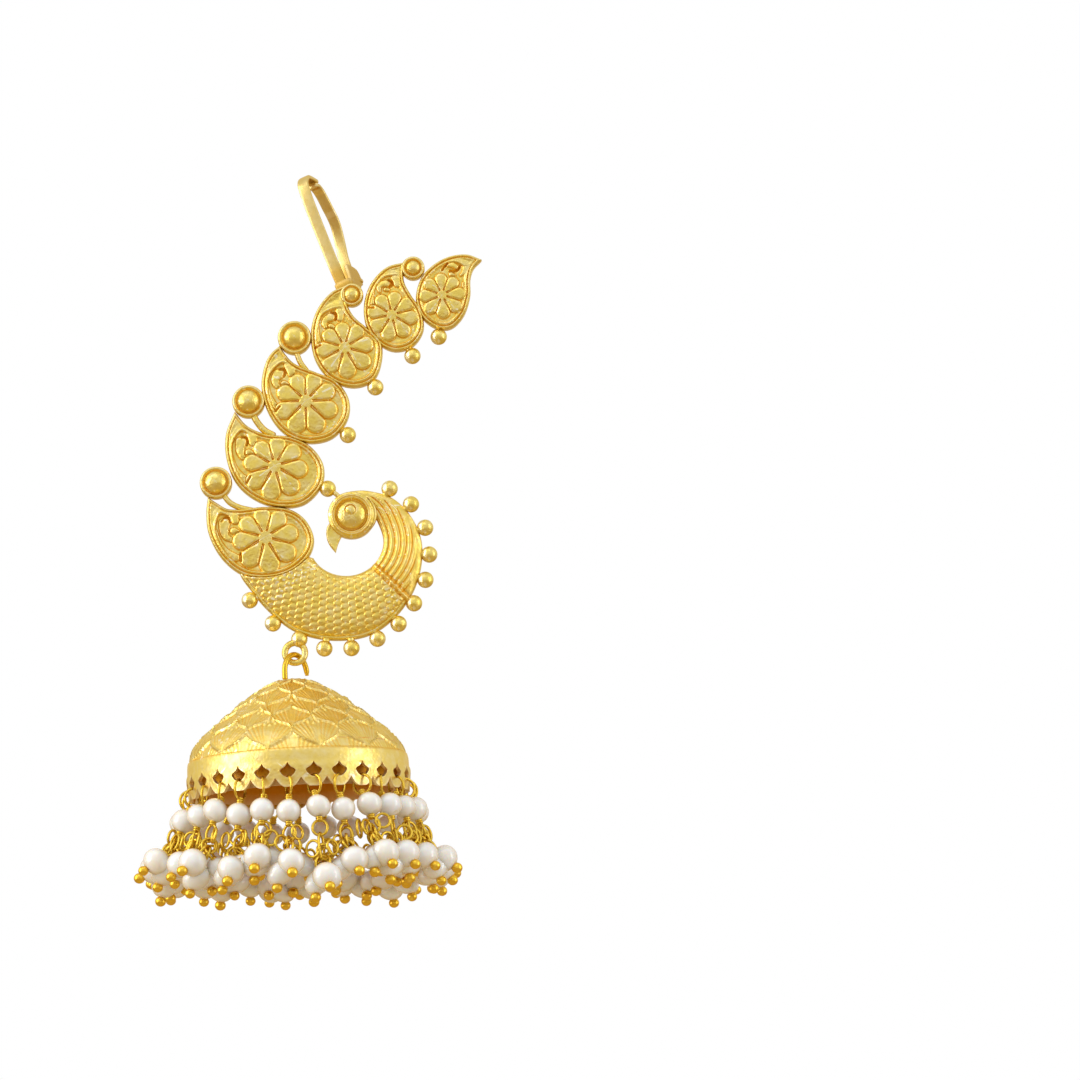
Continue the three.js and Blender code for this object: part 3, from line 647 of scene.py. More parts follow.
def scale_relief(points):
    """Overlapping scales: their height, and painted shade for how near each point is under a
    scale's tip.
    """
    x, z = (points - SCALE_CENTRE).T
    along = np.arctan2(x, -z) * SCALE_ARC / SCALE_LONG
    aside = np.hypot(x, z) / SCALE_WIDE
    tall = np.zeros(len(points))
    shade = np.zeros(len(points))
    left = np.ones(len(points), bool)
    for back in range(3):            # a scale reaches over the next two columns
        column = np.floor(along) - back
        off = (aside + 0.5 * (column % 2)) % 1 - 0.5
        arc = 0.8 * (1 - np.sqrt(np.clip(1 - 3.7 * off ** 2, 0, 1)))
        past = along - column - arc
        here = left & (past >= 0)
        tall[here] = SCALE_TALL * np.clip(1 - past[here] / 1.9, 0, 1) - 0.13 * (off[here] * 2) ** 2
        shade[here] = np.clip(past[here] / 1.0 - 0.35, 0, 1)
        left &= ~here
    return tall, shade


def body_heights(points, turn, share, width):
    """The body's front over each point, forward of the back, and how much painted shade it gets."""
    inner = share * width
    outer = (1 - share) * width
    swell = np.clip(1 - np.abs(2 * share ** 0.95 - 1) ** 2.8, 0, 1) ** 0.6
    thick = 0.35 + 0.75 * ease(1.0, 8.0, width)
    tall = 1.15 + thick * swell
    from_collar = (turn - COLLAR_TURN) * (HOLLOW_RADIUS + inner)
    neck = ease(-0.05, 0.05, from_collar)
    rim = ease(0.35, 0.55, outer) * ease(0.1, 0.3, inner)
    scales, shade = scale_relief(points)
    belly = 0.12 * bump(outer - 0.22, 0.16) - 0.12 * bump(outer - 0.48, 0.1)
    belly += rim * (scales + 0.02)
    across = inner / FEATHER % 1
    rib = FEATHER_TALL * np.clip(1 - np.abs(2 * across - 1) ** 2.2, 0, 1) ** 0.7
    rib = rib - 0.1 * bump(across - 0.3, 0.06)
    last = ease(0.95, 0.75, outer)   # the outermost feather is plain
    rib = mix(rib, 0.16, last)
    tall = tall + belly * (1 - neck) + (rib - 0.02) * neck
    tall += 0.3 * bump(from_collar, 0.2) - 0.12 * bump(np.abs(from_collar) - 0.42, 0.12)
    tall -= 0.25 * rounded_off(outer, 0.1) + 0.25 * rounded_off(inner, 0.1)
    # Painted shade: in the ribs' grooves, a little over all the neck, beside the collar and under
    # the scales' tips.
    groove_shade = bump(np.abs(across - 0.5) - 0.5, 0.13) * (1 - last) * neck
    shade_paint = shade * 0.55 * rim * (1 - neck) + groove_shade + 0.1 * neck
    shade_paint += 0.7 * bump(np.abs(from_collar) - 0.4, 0.12)
    return tall, np.clip(shade_paint, 0, 1)


def about_hollow(line, end):
    """Each point's turn about the hollow's middle and its distance from it. The turns run on
    without a jump, and the given end's is the nearest one to the tail's, half a turn back."""
    x, z = (line - HOLLOW_MIDDLE).T
    turn = np.unwrap(np.arctan2(z, x))
    turn -= round((turn[end] + math.pi) / math.tau) * math.tau
    return turn, np.hypot(x, z)


outline_turn, outline_out = about_hollow(smooth_line(BODY_EDGE, 900), 0)
body_turn = np.linspace(outline_turn[0] + 0.03, outline_turn[-1], BODY_AROUND)
body_far = np.interp(body_turn, outline_turn, outline_out)
tail_turn, tail_out = about_hollow(smooth_line([BODY_EDGE[0], (-0.6, 4.3), (2.3, 3.4)], 40), -1)
hollow_far = HOLLOW_RADIUS + 0.22 * bump(body_turn + 2.5, 0.6) - 0.3 * bump(body_turn - 0.4, 0.42)
body_near = np.where(body_turn > tail_turn[-1], hollow_far,
                     np.interp(body_turn, tail_turn, tail_out))
body_near = np.minimum(body_near, body_far - 0.3)
shares = np.linspace(0, 1, BODY_ACROSS)
shares = shares - 0.6 * np.sin(2 * math.pi * shares) / (2 * math.pi) * 0.3     # finer at the rims
out = body_near[:, None] + (body_far - body_near)[:, None] * shares
turn = np.repeat(body_turn[:, None], BODY_ACROSS, 1)
flat = HOLLOW_MIDDLE + np.stack([out * np.cos(turn), out * np.sin(turn)], axis=-1)
flat = flat.reshape(-1, 2)
width = np.repeat(body_far - body_near, BODY_ACROSS)
tall, shade_paint = body_heights(flat, turn.ravel(), np.tile(shares, BODY_AROUND), width)
# The body runs on lower and plain under the lowest leaf and under the head.
leaf = LEAVES["leaf_1"]
leaf_middle = np.array(leaf["flower"])
spoke = smooth_line([*leaf["edge"], leaf["edge"][0]], 120) - leaf_middle
bearing = np.arctan2(spoke[:, 1], spoke[:, 0])
order = np.argsort(bearing)
away = flat - leaf_middle
limit = np.interp(np.arctan2(away[:, 1], away[:, 0]), bearing[order],
                  np.hypot(*spoke.T)[order], period=2 * math.pi)
under_leaf = ease(0.05, -0.25, np.hypot(*away.T) - limit)
tall = mix(tall, UNDER_LEAF, under_leaf)
under_head = ease(0.0, -0.3, np.hypot(*(flat - HEAD).T) - HEAD_RADIUS)
tall = mix(tall, UNDER_HEAD, under_head)
front = stood(flat, tall)
grid = np.arange(BODY_AROUND * BODY_ACROSS).reshape(BODY_AROUND, BODY_ACROSS)
faces = np.stack([grid[:-1, :-1], grid[:-1, 1:], grid[1:, 1:], grid[1:, :-1]], axis=-1)
faces = faces.reshape(-1, 4).tolist()
rim = np.r_[grid[:, 0], grid[-1, 1:], grid[-2::-1, -1], grid[0, -2:0:-1]].tolist()
count = len(front)
edge_back = front[rim].copy()
edge_back[:, 1] = -EDGE_BACK
points = np.vstack([front, edge_back])
faces += [(rim[n], rim[(n + 1) % len(rim)], count + (n + 1) % len(rim), count + n)
          for n in range(len(rim))]
# The flat back is strips from rim to rim, closed at each end of the crescent by one face.
behind = {v: count + n for n, v in enumerate(rim)}
near_side = [behind[v] for v in grid[:, 0].tolist()]
far_side = [behind[v] for v in grid[:, -1].tolist()]
faces += [(near_side[k], near_side[k + 1], far_side[k + 1], far_side[k])
          for k in range(1, BODY_AROUND - 2)]
for end, beside in ((0, 1), (-1, -2)):
    faces.append([behind[v] for v in grid[end].tolist()] + [far_side[beside], near_side[beside]])
cast_piece("peacock_body", points, faces, shade_paint)

# ---- the peacock's head and beak ----
# The head is a turned disc: an outer ring, an inner ring that slopes in, a deep groove and a
# high round cheek. The eye is a small raised ring with a dot, and the beak is a flat hook.

CHEEK_RADIUS = 1.92
CHEEK_FOOT = 1.97
HEAD_AROUND = 160
EYE_PLACE = (-0.12, 0.5)         # from the cheek's middle
EYE_AROUND = 64
LINE_RADIUS = 3.18               # the line between head and neck
LINE_FORWARD = 1.72
LINE_STEPS = 30

up = np.linspace(0, math.pi / 2, 40)[1:-1]
profile = [(3.03, 0.18), (HEAD_RADIUS, 0.3), (HEAD_RADIUS, 1.75), (3.08, 1.98), (2.98, 2.08),
           (2.86, 2.1), (2.76, 2.2), (2.68, 2.38), (2.6, 2.44), (2.52, 2.38), (2.46, 2.28),
           (2.42, 2.3), (2.36, 2.34), (2.3, 2.3), (2.22, 2.22), (2.12, 2.06), (2.04, 1.98),
           (1.96, 1.95)]
profile += [(CHEEK_RADIUS * math.cos(a), CHEEK_FOOT + math.sin(a)) for a in up]
profile.append((0.01, CHEEK_FOOT + 1))
points, faces = turned(profile, HEAD_AROUND)
# Painted shade in the head's groove and in the small dip of the inner ring.
groove_shade = [0.65 * bump(r - 2.04, 0.13) + 0.5 * bump(r - 2.47, 0.06) for r, f in profile]
groove_shade[:4] = [0] * 4                     # the disc's side stays bright
cast_piece("peacock_head", points + (HEAD[0], 0, HEAD[1]), faces, np.repeat(groove_shade, HEAD_AROUND))

profile = [(0.92, 2.3), (0.92, 2.84), (0.9, 2.92), (0.84, 2.97), (0.78, 2.94), (0.74, 2.86),
           (0.7, 2.84)]
profile += [(0.68 * math.cos(a), 2.86 + 0.34 * math.sin(a)) for a in np.linspace(0, 1.5, 12)[1:]]
points, faces = turned(profile, EYE_AROUND)
# The eye gets painted shade in its ring's groove.
cast_piece("peacock_eye", points + (HEAD[0] + EYE_PLACE[0], 0, HEAD[1] + EYE_PLACE[1]), faces,
           np.repeat([bump(r - 0.73, 0.06) for r, f in profile], EYE_AROUND))

# A thin raised line parts the head from the neck's feathers.
turn = np.linspace(math.radians(-38), math.radians(48), LINE_STEPS)
line = stood(HEAD + LINE_RADIUS * np.c_[np.cos(turn), np.sin(turn)], LINE_FORWARD)
thin = 0.06 + 0.18 * np.sin(np.linspace(0, math.pi, LINE_STEPS))
cast_piece("peacock_cheek_collar", *swept(line, thin, 0.42, (0, 1, 0), 16))

BEAK_EDGE = [(6.4, 7.8), (5.3, 8.5), (4.2, 7.8), (3.95, 6.95), (4.02, 6.0), (4.42, 5.1),
             (5.2, 4.15), (5.5, 5.3), (5.98, 6.3), (6.6, 7.0)]
BEAK_TOP = 1.6
BEAK_BACK = 0.24
edge = smooth_line(BEAK_EDGE[:7], 54)[:-1]
edge = np.vstack([edge, smooth_line([*BEAK_EDGE[6:], BEAK_EDGE[0]], 36)[:-1]])
middle = np.array((5.1, 6.6))
ridge_line = smooth_line(BEAK_EDGE[2:7], 30)
rings = []
for share in (0.3, 0.55, 0.7, 0.8, 0.88, 0.94, 1.0):
    flat = middle + (edge - middle) * share
    from_ridge, _ = nearest(flat, ridge_line)
    from_edge = np.linalg.norm((edge - middle) * (1 - share), axis=1)
    tall = BEAK_TOP + 0.12 * bump(from_ridge - 0.16, 0.13)
    tall -= 0.12 * rounded_off(from_edge, 0.15)
    rings.append(stood(flat, tall))
rings += [stood(middle + (edge - middle) * share, forward)
          for share, forward in ((1.0, 0.36), (0.96, BEAK_BACK), (0.4, BEAK_BACK))]
cast_piece("peacock_beak", *capped(rings, (middle[0], -BEAK_TOP - 0.02, middle[1]),
                                   (middle[0], -BEAK_BACK, middle[1])))

# ---- the beads round the edges ----
# Small cast balls on short necks: one in the hollow of each upper leaf, one of them joined to
# the head by a short bar, and a row round the peacock's back and belly.

BEAD_RADIUS = 1.1
BEAD_FORWARD = 1.05
NECK_ALONG = np.array((0.7, 0.95, 1.15, 1.5, 2.0))     # from the bead's middle
NECK_ACROSS = (0.62, 0.5, 0.46, 0.5, 0.55)
NECK_DEEP = (0.6, 0.5, 0.48, 0.5, 0.55)
BEADS = [  # middle, the point its neck runs toward
    ((4.1, 12.75), (-2.9, 15.7)), ((6.75, 20.0), (1.1, 24.4)), ((10.4, 26.45), (6.3, 32.0)),
    ((15.35, 30.7), (12.5, 36.1)), ((18.85, 33.3), (19.5, 38.8)),
] + [(bead, (6.4, 3.3)) for bead in (
    (-6.2, -2.25), (-3.1, -5.35), (0.42, -7.45), (3.75, -8.7), (7.35, -8.65), (10.8, -7.4),
    (13.6, -5.4), (15.65, -2.65), (17.15, 0.5), (17.65, 3.9), (17.1, 7.5), (15.2, 10.65),
    (12.35, 12.75))]


def ball(radius, around, rows):
    """A ball about the origin, its poles along Z."""
    rings = [np.c_[np.sin(a) * circle(around), np.full(around, np.cos(a))]
             for a in np.linspace(0, math.pi, rows + 1)[1:-1]]
    points, faces = capped(rings, (0, 0, 1), (0, 0, -1))
    return points * radius, faces


def joined(parts):
    """Several (points, faces) as one."""
    points, faces, count = [], [], 0
    for part_points, part_faces in parts:
        points.append(np.asarray(part_points, float))
        faces += [[count + v for v in face] for face in part_faces]
        count += len(part_points)
    return np.vstack(points), faces


bead, bead_faces = ball(BEAD_RADIUS, 36, 18)
for number, (middle, toward) in enumerate(BEADS, 1):
    middle = np.array((middle[0], -BEAD_FORWARD, middle[1]))
    way = np.array((toward[0], -BEAD_FORWARD, toward[1])) - middle
    way /= np.linalg.norm(way)
    neck = swept(middle + way * NECK_ALONG[:, None], NECK_ACROSS, NECK_DEEP, (0, 1, 0), 20)
    cast_piece(f"bead_{number:02d}", *joined([(bead + middle, bead_faces), neck]))

line = [(x, -BEAD_FORWARD, z) for x, z in ((4.6, 12.5), (5.3, 11.95), (6.0, 11.3))]
cast_piece("head_bar", *swept(line, 0.32, 0.5, (0, 1, 0), 20))

# ---- the eyelet under the belly ----
# A round cast ring under the third belly bead, standing flat with the frame. The bell's wire
# hook hangs in it.

EYELET = np.array((-0.15, -1.1, -9.3))
EYELET_RADIUS = 1.33
EYELET_WIRE = 0.43
line = EYELET + stood(EYELET_RADIUS * circle(72), 0)
cast_piece("eyelet", *swept(line, EYELET_WIRE, EYELET_WIRE, (0, 1, 0), 24, 1.0, True))

# ---- the ear post ----
# A straight plain pin behind the middle of the lowest leaves. It goes through the lobe, so it
# is smooth, polished and rounded at the free end.

POST_RADIUS = 0.45
GROOVE_RADIUS = 0.38             # the groove near the free end that a nut snaps into
profile = [(0.3, 10.5), (0.4, 10.42), (POST_RADIUS, 10.25), (POST_RADIUS, 8.5),
           (GROOVE_RADIUS, 8.4), (GROOVE_RADIUS, 8.1), (POST_RADIUS, 8.0), (POST_RADIUS, 0.14),
           (0.42, 0.1), (0.01, 0.1)]
points, faces = turned([(r, -back) for r, back in profile], 36)
add_piece("ear_post", points, faces, cast_gold, "cuff", ["ear_post"], None, 40)

# ---- the clasp's bracket and fixed strip ----
# Behind the top of the frame a flat pad is soldered on, with two upright cheeks that hold a
# pivot pin. A plain brushed strip stands up from the pad and folds back over the ear.

CLASP_PLACE = np.array((6.4, 0, 40.13))
CLASP_TURN = np.array(Matrix.Rotation(math.radians(-22), 3, "Y")
                      @ Matrix.Rotation(math.radians(-15), 3, "Z"))
PIVOT = np.array((5.0, 0.9))     # back and up, in the clasp's own frame
PAD_HALF_DEEP = 0.93
PAD_HALF_WIDE = 1.25
STRIP_HALF_THICK = 0.3
STRIP_HALF_WIDE = 0.76
CHEEK_MIDDLE = 0.97
CHEEK_HALF = 0.22
CHEEK_EDGE = [(-0.6, -1.3), (0.9, -1.3), (2.2, -1.0), (3.4, -0.3), (4.5, 0.25), (5.15, 0.3),
              (5.5, 0.75), (5.55, 1.4), (5.45, 2.1), (5.1, 2.55), (4.4, 2.75), (3.2, 2.95),
              (1.9, 3.1), (1.0, 3.1), (0.5, 2.9), (0.15, 1.4), (-0.3, -0.2)]
PIN_HALF_LONG = 1.28
PIN_RADIUS = 0.32
HARD_EDGE = 40                   # degrees

brushed_gold = gold_material(
    "brushed_gold", (0.77, 0.57, 0.19), (0.62, 0.38, 0.05), (0.92, 0.78, 0.44), 0.34, 2600, 0.02)


def in_clasp(points):
    """From the clasp's frame (across, back, up) to the part's."""
    return CLASP_PLACE + np.asarray(points, float) @ CLASP_TURN.T


def plate(outline, middle, half, bevel=0.08):
    """A flat plate with softened edges, from an outline of (back, up) round its own middle."""
    outline = np.asarray(outline, float)
    count = len(outline)
    centre = outline.mean(axis=0)
    way = outline - centre
    small = centre + way * (1 - bevel / np.linalg.norm(way, axis=1))[:, None]
    flat = [centre + way * share for share in (0.25, 0.5, 0.75)]
    steps = [(ring, -half) for ring in (*flat, small)]
    steps += [(outline, bevel - half), (outline, half - bevel)]
    steps += [(ring, half) for ring in (small, *flat[::-1])]
    rings = [np.c_[np.full(count, middle + across), ring] for ring, across in steps]
    faces = band_faces(len(steps), count)
    faces += [list(range(count)), list(range((len(steps) - 1) * count, len(steps) * count))]
    return np.vstack(rings), faces


def strap(line, half_wide):
    """A flat strip along a (across, back, up) line in the clasp's frame."""
    return swept(smooth_line(line, 70), STRIP_HALF_THICK, half_wide, (1, 0, 0), 28, 0.45)


pad_line = [(0, 0.05, up) for up in np.linspace(-2.0, 0.75, 8)]
pin_line = [(across, *PIVOT) for across in np.linspace(-PIN_HALF_LONG, PIN_HALF_LONG, 9)]
points, faces = joined([
    swept(pad_line, PAD_HALF_DEEP, PAD_HALF_WIDE, (1, 0, 0), 28, 0.3),
    plate(CHEEK_EDGE, -CHEEK_MIDDLE, CHEEK_HALF),
    plate(CHEEK_EDGE, CHEEK_MIDDLE, CHEEK_HALF),
    swept(pin_line, PIN_RADIUS, PIN_RADIUS, (0, 0, 1), 24),
    strap([(-0.35, 0.35, -1.0), (-0.45, 0.35, 1.5), (-0.52, 0.6, 8.0), (-0.5, 1.0, 14.1),
           (-0.45, 1.6, 15.7), (-0.3, 2.9, 16.45), (-0.2, 4.3, 16.35), (-0.05, 5.8, 15.98)],
          STRIP_HALF_WIDE),
])
shade_near_bracket = 0.8 * ease(4.0, 2.2, points[:, 2])     # painted shade, darker towards the bracket
add_piece("clasp_bracket", in_clasp(points), faces, brushed_gold, "cuff",
          ["cuff_frame"], shade_near_bracket, HARD_EDGE)

# ---- the clasp's lever ----
# A bowed strip of the same brushed metal, with an eye rolled round the pivot pin. Its end comes
# up under the fold of the fixed strip when the clasp is shut.

EYE_SECTION = [(0.47, -0.6), (0.47, 0.6), (0.5, 0.66), (0.95, 0.66), (1.0, 0.6), (1.0, -0.6),
               (0.95, -0.66), (0.5, -0.66)]     # radius, across
ROUND = 40
LEVER_HALF_WIDE = 0.72
eye = [np.c_[np.full(ROUND, across), PIVOT + radius * circle(ROUND)]
       for radius, across in EYE_SECTION]
eye_faces = band_faces(len(eye), ROUND) + ring_faces((len(eye) - 1) * ROUND, 0, ROUND)
points, faces = joined([
    (np.vstack(eye), eye_faces),
    strap([(0, 5.7, 0.9), (-0.3, 6.4, 2.4), (-0.55, 7.6, 4.9), (-0.3, 8.3, 7.5), (0.1, 8.1, 10.1),
           (0.15, 7.1, 12.7), (0.1, 6.5, 14.45), (0.05, 5.75, 15.2), (0, 4.7, 15.35)],
          LEVER_HALF_WIDE),
])
# Painted shade, darker towards the bracket.
shade_near_bracket = 0.85 * ease(5.5, 2.0, points[:, 2])
add_piece("clasp_lever", in_clasp(points), faces, brushed_gold, "lever",
          ["clasp_lever"], shade_near_bracket, HARD_EDGE)

# ---- the bell's dome ----
# A bell pressed from thin sheet: rows of overlapping lotus petals with fine veins come down
# from the crown, a plain band goes round below them, and a row of pointed holes runs above the
# scalloped lip. It is plated a brighter yellow, is dull inside and is painted brown there as shade.

BELL_PLACE = np.array((-0.3, -1.1, -12.5))
BELL_LEAN = np.array(Matrix.Rotation(math.radians(-3), 3, "Y"))
DOME_SIDE = [(0.0, -12.85), (2.1, -13.05), (4.4, -14.15), (6.85, -15.75), (9.0, -17.4),
             (11.05, -19.1), (13.1, -21.0), (14.25, -22.9), (14.8, -24.8), (14.6, -29.1)]
BAND_RADIUS = 14.8
BAND_SUNK = 0.12
WALL = 0.5
BAND_TOP = -23.6
HOLE_ROW = -26.5
HOLE_COUNT = 27
FIRST_HOLE = math.radians(-3.6)
GRID_TOP = -25.2                 # below this the mesh goes round the holes
LIP = -28.6
CELL_WIDE = 22                   # mesh steps across and down the field round a hole
CELL_TALL = 12
VEIN_PITCH = math.radians(6.8)
VEIN_TALL = 0.036
RIDGE_TALL = 0.15
STEM_TALL = 0.16
HOLE_EDGE = [(0, 1.12), (0.13, 0.86), (0.42, 0.5), (0.85, 0.24), (1.06, 0.02), (0.92, -0.32),
             (0.62, -0.66), (0.3, -0.86), (0, -0.92)]
# The petal rows from the top: how many go round, whether a petal faces straight forward, the
# height of its tip up the side from the band, how tall its lower edge is and its point.
PETAL_ROWS = [
    (8, 0.5, 14.0, 1.9, 0.5),
    (8, 0.0, 11.4, 2.0, 0.6),
    (8, 0.5, 8.7, 2.1, 0.6),
    (13, 0.5, 5.9, 2.0, 0.8),
    (13, 0.0, 2.9, 2.0, 1.1),
    (13, 0.5, -0.3, 2.5, 0.6),
    (13, 0.0, -3.1, 2.5, 0.6),
]


def in_bell(points):
    """From the bell's own frame, hung straight, to the part's."""
    return BELL_PLACE + (np.asarray(points, float) - (0, 0, BELL_PLACE[2])) @ BELL_LEAN.T


side_line = smooth_line(DOME_SIDE, 400)
side_along = np.r_[0, np.cumsum(np.linalg.norm(np.diff(side_line, axis=0), axis=1))]
band_along = np.interp(-BAND_TOP, -side_line[:, 1], side_along)


def dome_relief(angle, rise, radius):
    """The petals' height over each point of the dome, and how much painted shade it gets."""
    tall = np.zeros_like(rise)
    stems = np.zeros_like(rise)
    shade_paint = np.zeros_like(rise)
    bare = np.ones_like(rise)        # how much of each point no upper petal has covered
    for count, shift, tip, edge_tall, point_tall in PETAL_ROWS:
        pitch = 2 * math.pi / count
        place = angle / pitch + shift
        off = place - np.round(place)
        lean = np.abs(off) * 2
        start = tip + point_tall * (1 - np.exp(-lean / 0.06))
        start = start + edge_tall * (1 - (1 - lean) ** 0.55)
        above = rise - start
        across = off * pitch * radius
        fan = np.arctan2(across, rise - tip + 0.9)
        veins = np.cos(fan * 2 * math.pi / VEIN_PITCH)
        veins *= ease(0.3, 0.6, above) * ease(0.02, 0.12, np.abs(fan))
        here = bare * ease(-0.1, 0.1, above)
        past = np.maximum(above, 0)
        tall += here * (0.14 * np.exp(-past / 0.9) + RIDGE_TALL * bump(above - 0.14, 0.13)
                        + VEIN_TALL * veins)
        shade_paint = mix(shade_paint, 0.6 * ease(0.0, -1.0, veins), here)
        bare = bare - here
        shade_paint = np.maximum(shade_paint, bare * bump(above + 0.12, 0.17))
        if 4 < tip < 12:             # three small stems hang from a petal of the middle rows
            low = (bare > 0.5) & (above > -2.6)
            stem = np.stack([across[low], rise[low] - tip], axis=1)
            near = np.full(len(stem), 9.0)
            for end in ((0.0, -1.5), (-0.75, -1.25), (0.75, -1.25)):
                gap, _ = nearest(stem, np.array([(0, 0.3), (end[0] * 0.4, end[1] * 0.5), end]))
                near = np.minimum(near, gap - 0.02)
                near = np.minimum(near, np.linalg.norm(stem - end, axis=1) - 0.12)
            stems[low] = np.maximum(stems[low], STEM_TALL * ease(0.16, 0.0, near))
    return tall + stems, shade_paint


dome_around = HOLE_COUNT * CELL_WIDE
cell = 2 * math.pi / HOLE_COUNT
angles = FIRST_HOLE - cell / 2 + np.arange(dome_around) * cell / CELL_WIDE
grid_along = np.interp(-GRID_TOP, -side_line[:, 1], side_along)
along = np.r_[np.linspace(0.5, 2.2, 5)[:-1], np.linspace(2.2, band_along, 108)[:-1],
              np.linspace(band_along, grid_along, 7)]
radius = np.interp(along, side_along, side_line[:, 0])
height = np.interp(along, side_along, side_line[:, 1])
slope = np.stack([np.gradient(height, along), -np.gradient(radius, along)], axis=1)
slope /= -np.linalg.norm(slope, axis=1)[:, None]
rise = np.repeat((band_along - along)[:, None], dome_around, 1)
turn = np.repeat(angles[None], len(along), 0)
tall, shade_paint = dome_relief(turn, rise, radius[:, None])
fade = ease(-0.02, 0.1, rise)
crown = ease(17.4, 16.6, rise)
out = radius[:, None]
knob = 0.22 * np.cos(turn * 8) * bump(out - 1.9, 0.6) + 0.2 * bump(out - 1.0, 0.5)
tall = mix(knob, tall, crown) * fade + 0.13 * (1 - fade) * ease(-1.6, -0.1, rise)
tall += 0.06 * bump(rise + 0.08, 0.1) - BAND_SUNK
# Painted shade along the band's top edge.
shade_paint = np.clip(shade_paint * fade * crown + 0.6 * bump(rise - 0.1, 0.12), 0, 1)
ring_radius = radius[:, None] + slope[:, :1] * tall
ring_height = height[:, None] + slope[:, 1:] * tall
ring_radius[-1] = radius[-1] - BAND_SUNK
ring_height[-1] = GRID_TOP


def round_rings(radius, height):
    """Rings round the bell. Above the band they lean aside a little, as the pressing does."""
    aslant = -0.2 * ease(-24.5, -20.5, height)
    return np.stack([radius * np.sin(angles) + aslant, -radius * np.cos(angles),
                     height + 0 * angles], axis=-1)


outer = round_rings(ring_radius, ring_height)
inner_along = np.linspace(0.5, grid_along, 9)
inner_slope = [np.interp(inner_along, along, slope[:, k]) for k in (0, 1)]
inner_radius = np.interp(inner_along, side_along, side_line[:, 0]) - WALL * inner_slope[0]
inner_radius = np.maximum(inner_radius, 0.3)
inner_height = np.interp(inner_along, side_along, side_line[:, 1]) - WALL * inner_slope[1]
inner_radius[-1] = radius[-1] - WALL
inner_height[-1] = GRID_TOP
inner = round_rings(inner_radius[:, None], inner_height[:, None])

# A plain collar, a guessed liner, stands inside the wall behind the holes; it is painted in full
# shade, so the far holes show shade.
COLLAR_SECTION = [(13.8, -22.2), (13.1, -23.6), (12.85, -24.6), (12.75, -26.4), (12.75, -28.2),
                  (12.5, -28.2), (12.5, -26.4), (12.6, -24.5), (12.85, -23.5), (13.5, -22.1),
                  (13.8, -22.2)]
COLLAR_AROUND = 120
collar = np.array([(r * s, -r * c, z) for r, z in COLLAR_SECTION
                   for c, s in circle(COLLAR_AROUND)])


def lip_height(angle):
    """The lip's lower edge, cut up into a small point between each two holes."""
    place = (angle - FIRST_HOLE) / cell
    off = np.abs(place - np.round(place)) * 2
    return LIP + 1.2 * np.clip((off - 0.3) / 0.7, 0, 1) ** 1.6


hole = smooth_line(HOLE_EDGE, 60)
hole = np.vstack([hole[:-1], hole[::-1][:-1] * (-1, 1)])
hole_turn = np.arctan2(hole[:, 1], hole[:, 0])
hole_out = np.hypot(*hole.T)
order = np.argsort(hole_turn)
across = np.linspace(-0.5, 0.5, CELL_WIDE + 1) * cell
down = np.linspace(0, 1, CELL_TALL + 1)
low = lip_height(FIRST_HOLE + across)
loop = [(a, GRID_TOP) for a in across]
loop += [(across[-1], GRID_TOP + (low[-1] - GRID_TOP) * d) for d in down[1:]]
loop += [(a, z) for a, z in zip(across[-2::-1], low[-2::-1])]
loop += [(across[0], low[0] + (GRID_TOP - low[0]) * d) for d in down[1:-1]]
loop = np.array(loop)
loop_flat = np.c_[loop[:, 0] * BAND_RADIUS, loop[:, 1] - HOLE_ROW]
loop_turn = np.arctan2(loop_flat[:, 1], loop_flat[:, 0])
reach = np.interp(loop_turn, hole_turn[order], hole_out[order], period=2 * math.pi)
hole_flat = np.c_[reach * np.cos(loop_turn), reach * np.sin(loop_turn)]
LOOPS = (0, 0.35, 0.7, 0.93, 1)  # rings from the field's edge in to the hole's
lower_side = side_line[300:]
parts, shades = [], []


def part(points, faces, shade):
    """Adds one sheet of the bell. shade is how much painted shade it gets."""
    parts.append((points, faces))
    shades.append(np.broadcast_to(shade, len(points)))


# Painted shade: the front's vein troughs, petal edges and band top, all the inside and the collar,
# the holes' walls and the lip's edge.
part(outer.reshape(-1, 3), band_faces(len(along), dome_around), shade_paint.ravel())
part(np.vstack([outer[0], [outer[0].mean(axis=0)]]), fan_faces(dome_around, 0, dome_around), 0)
part(inner.reshape(-1, 3), band_faces(len(inner), dome_around), 1)
part(np.vstack([inner[0], [inner[0].mean(axis=0)]]), fan_faces(dome_around, 0, dome_around), 1)
part(collar, band_faces(len(COLLAR_SECTION), COLLAR_AROUND), 1)
for number in range(HOLE_COUNT):
    middle = FIRST_HOLE + number * cell
    walls = []
    for inset in (0, WALL):
        rings = []
        for share in LOOPS:
            flat = loop_flat + (hole_flat - loop_flat) * share
            angle = middle + flat[:, 0] / BAND_RADIUS
            z = flat[:, 1] + HOLE_ROW
            r = np.interp(-z, -lower_side[:, 1], lower_side[:, 0]) - inset
            if inset == 0:           # the front meets the band and is raised round the hole
                r -= BAND_SUNK * ease(GRID_TOP - 0.6, GRID_TOP, z)
                r += 0.04 * bump(share - 0.93, 0.1)
            rings.append(np.stack([r * np.sin(angle), -r * np.cos(angle), z], axis=1))
        part(np.vstack(rings), band_faces(len(LOOPS), len(loop)), 1.0 if inset else 0.0)
        walls.append(rings)
    part(np.vstack([walls[0][-1], walls[1][-1]]), band_faces(2, len(loop)), 0.85)
    bottom = slice(CELL_WIDE + CELL_TALL, 2 * CELL_WIDE + CELL_TALL + 1)
    edge = [walls[0][0][bottom], walls[1][0][bottom]]
    part(np.vstack(edge), band_faces(2, CELL_WIDE + 1, 0, False), 0.5)
points, faces = joined(parts)
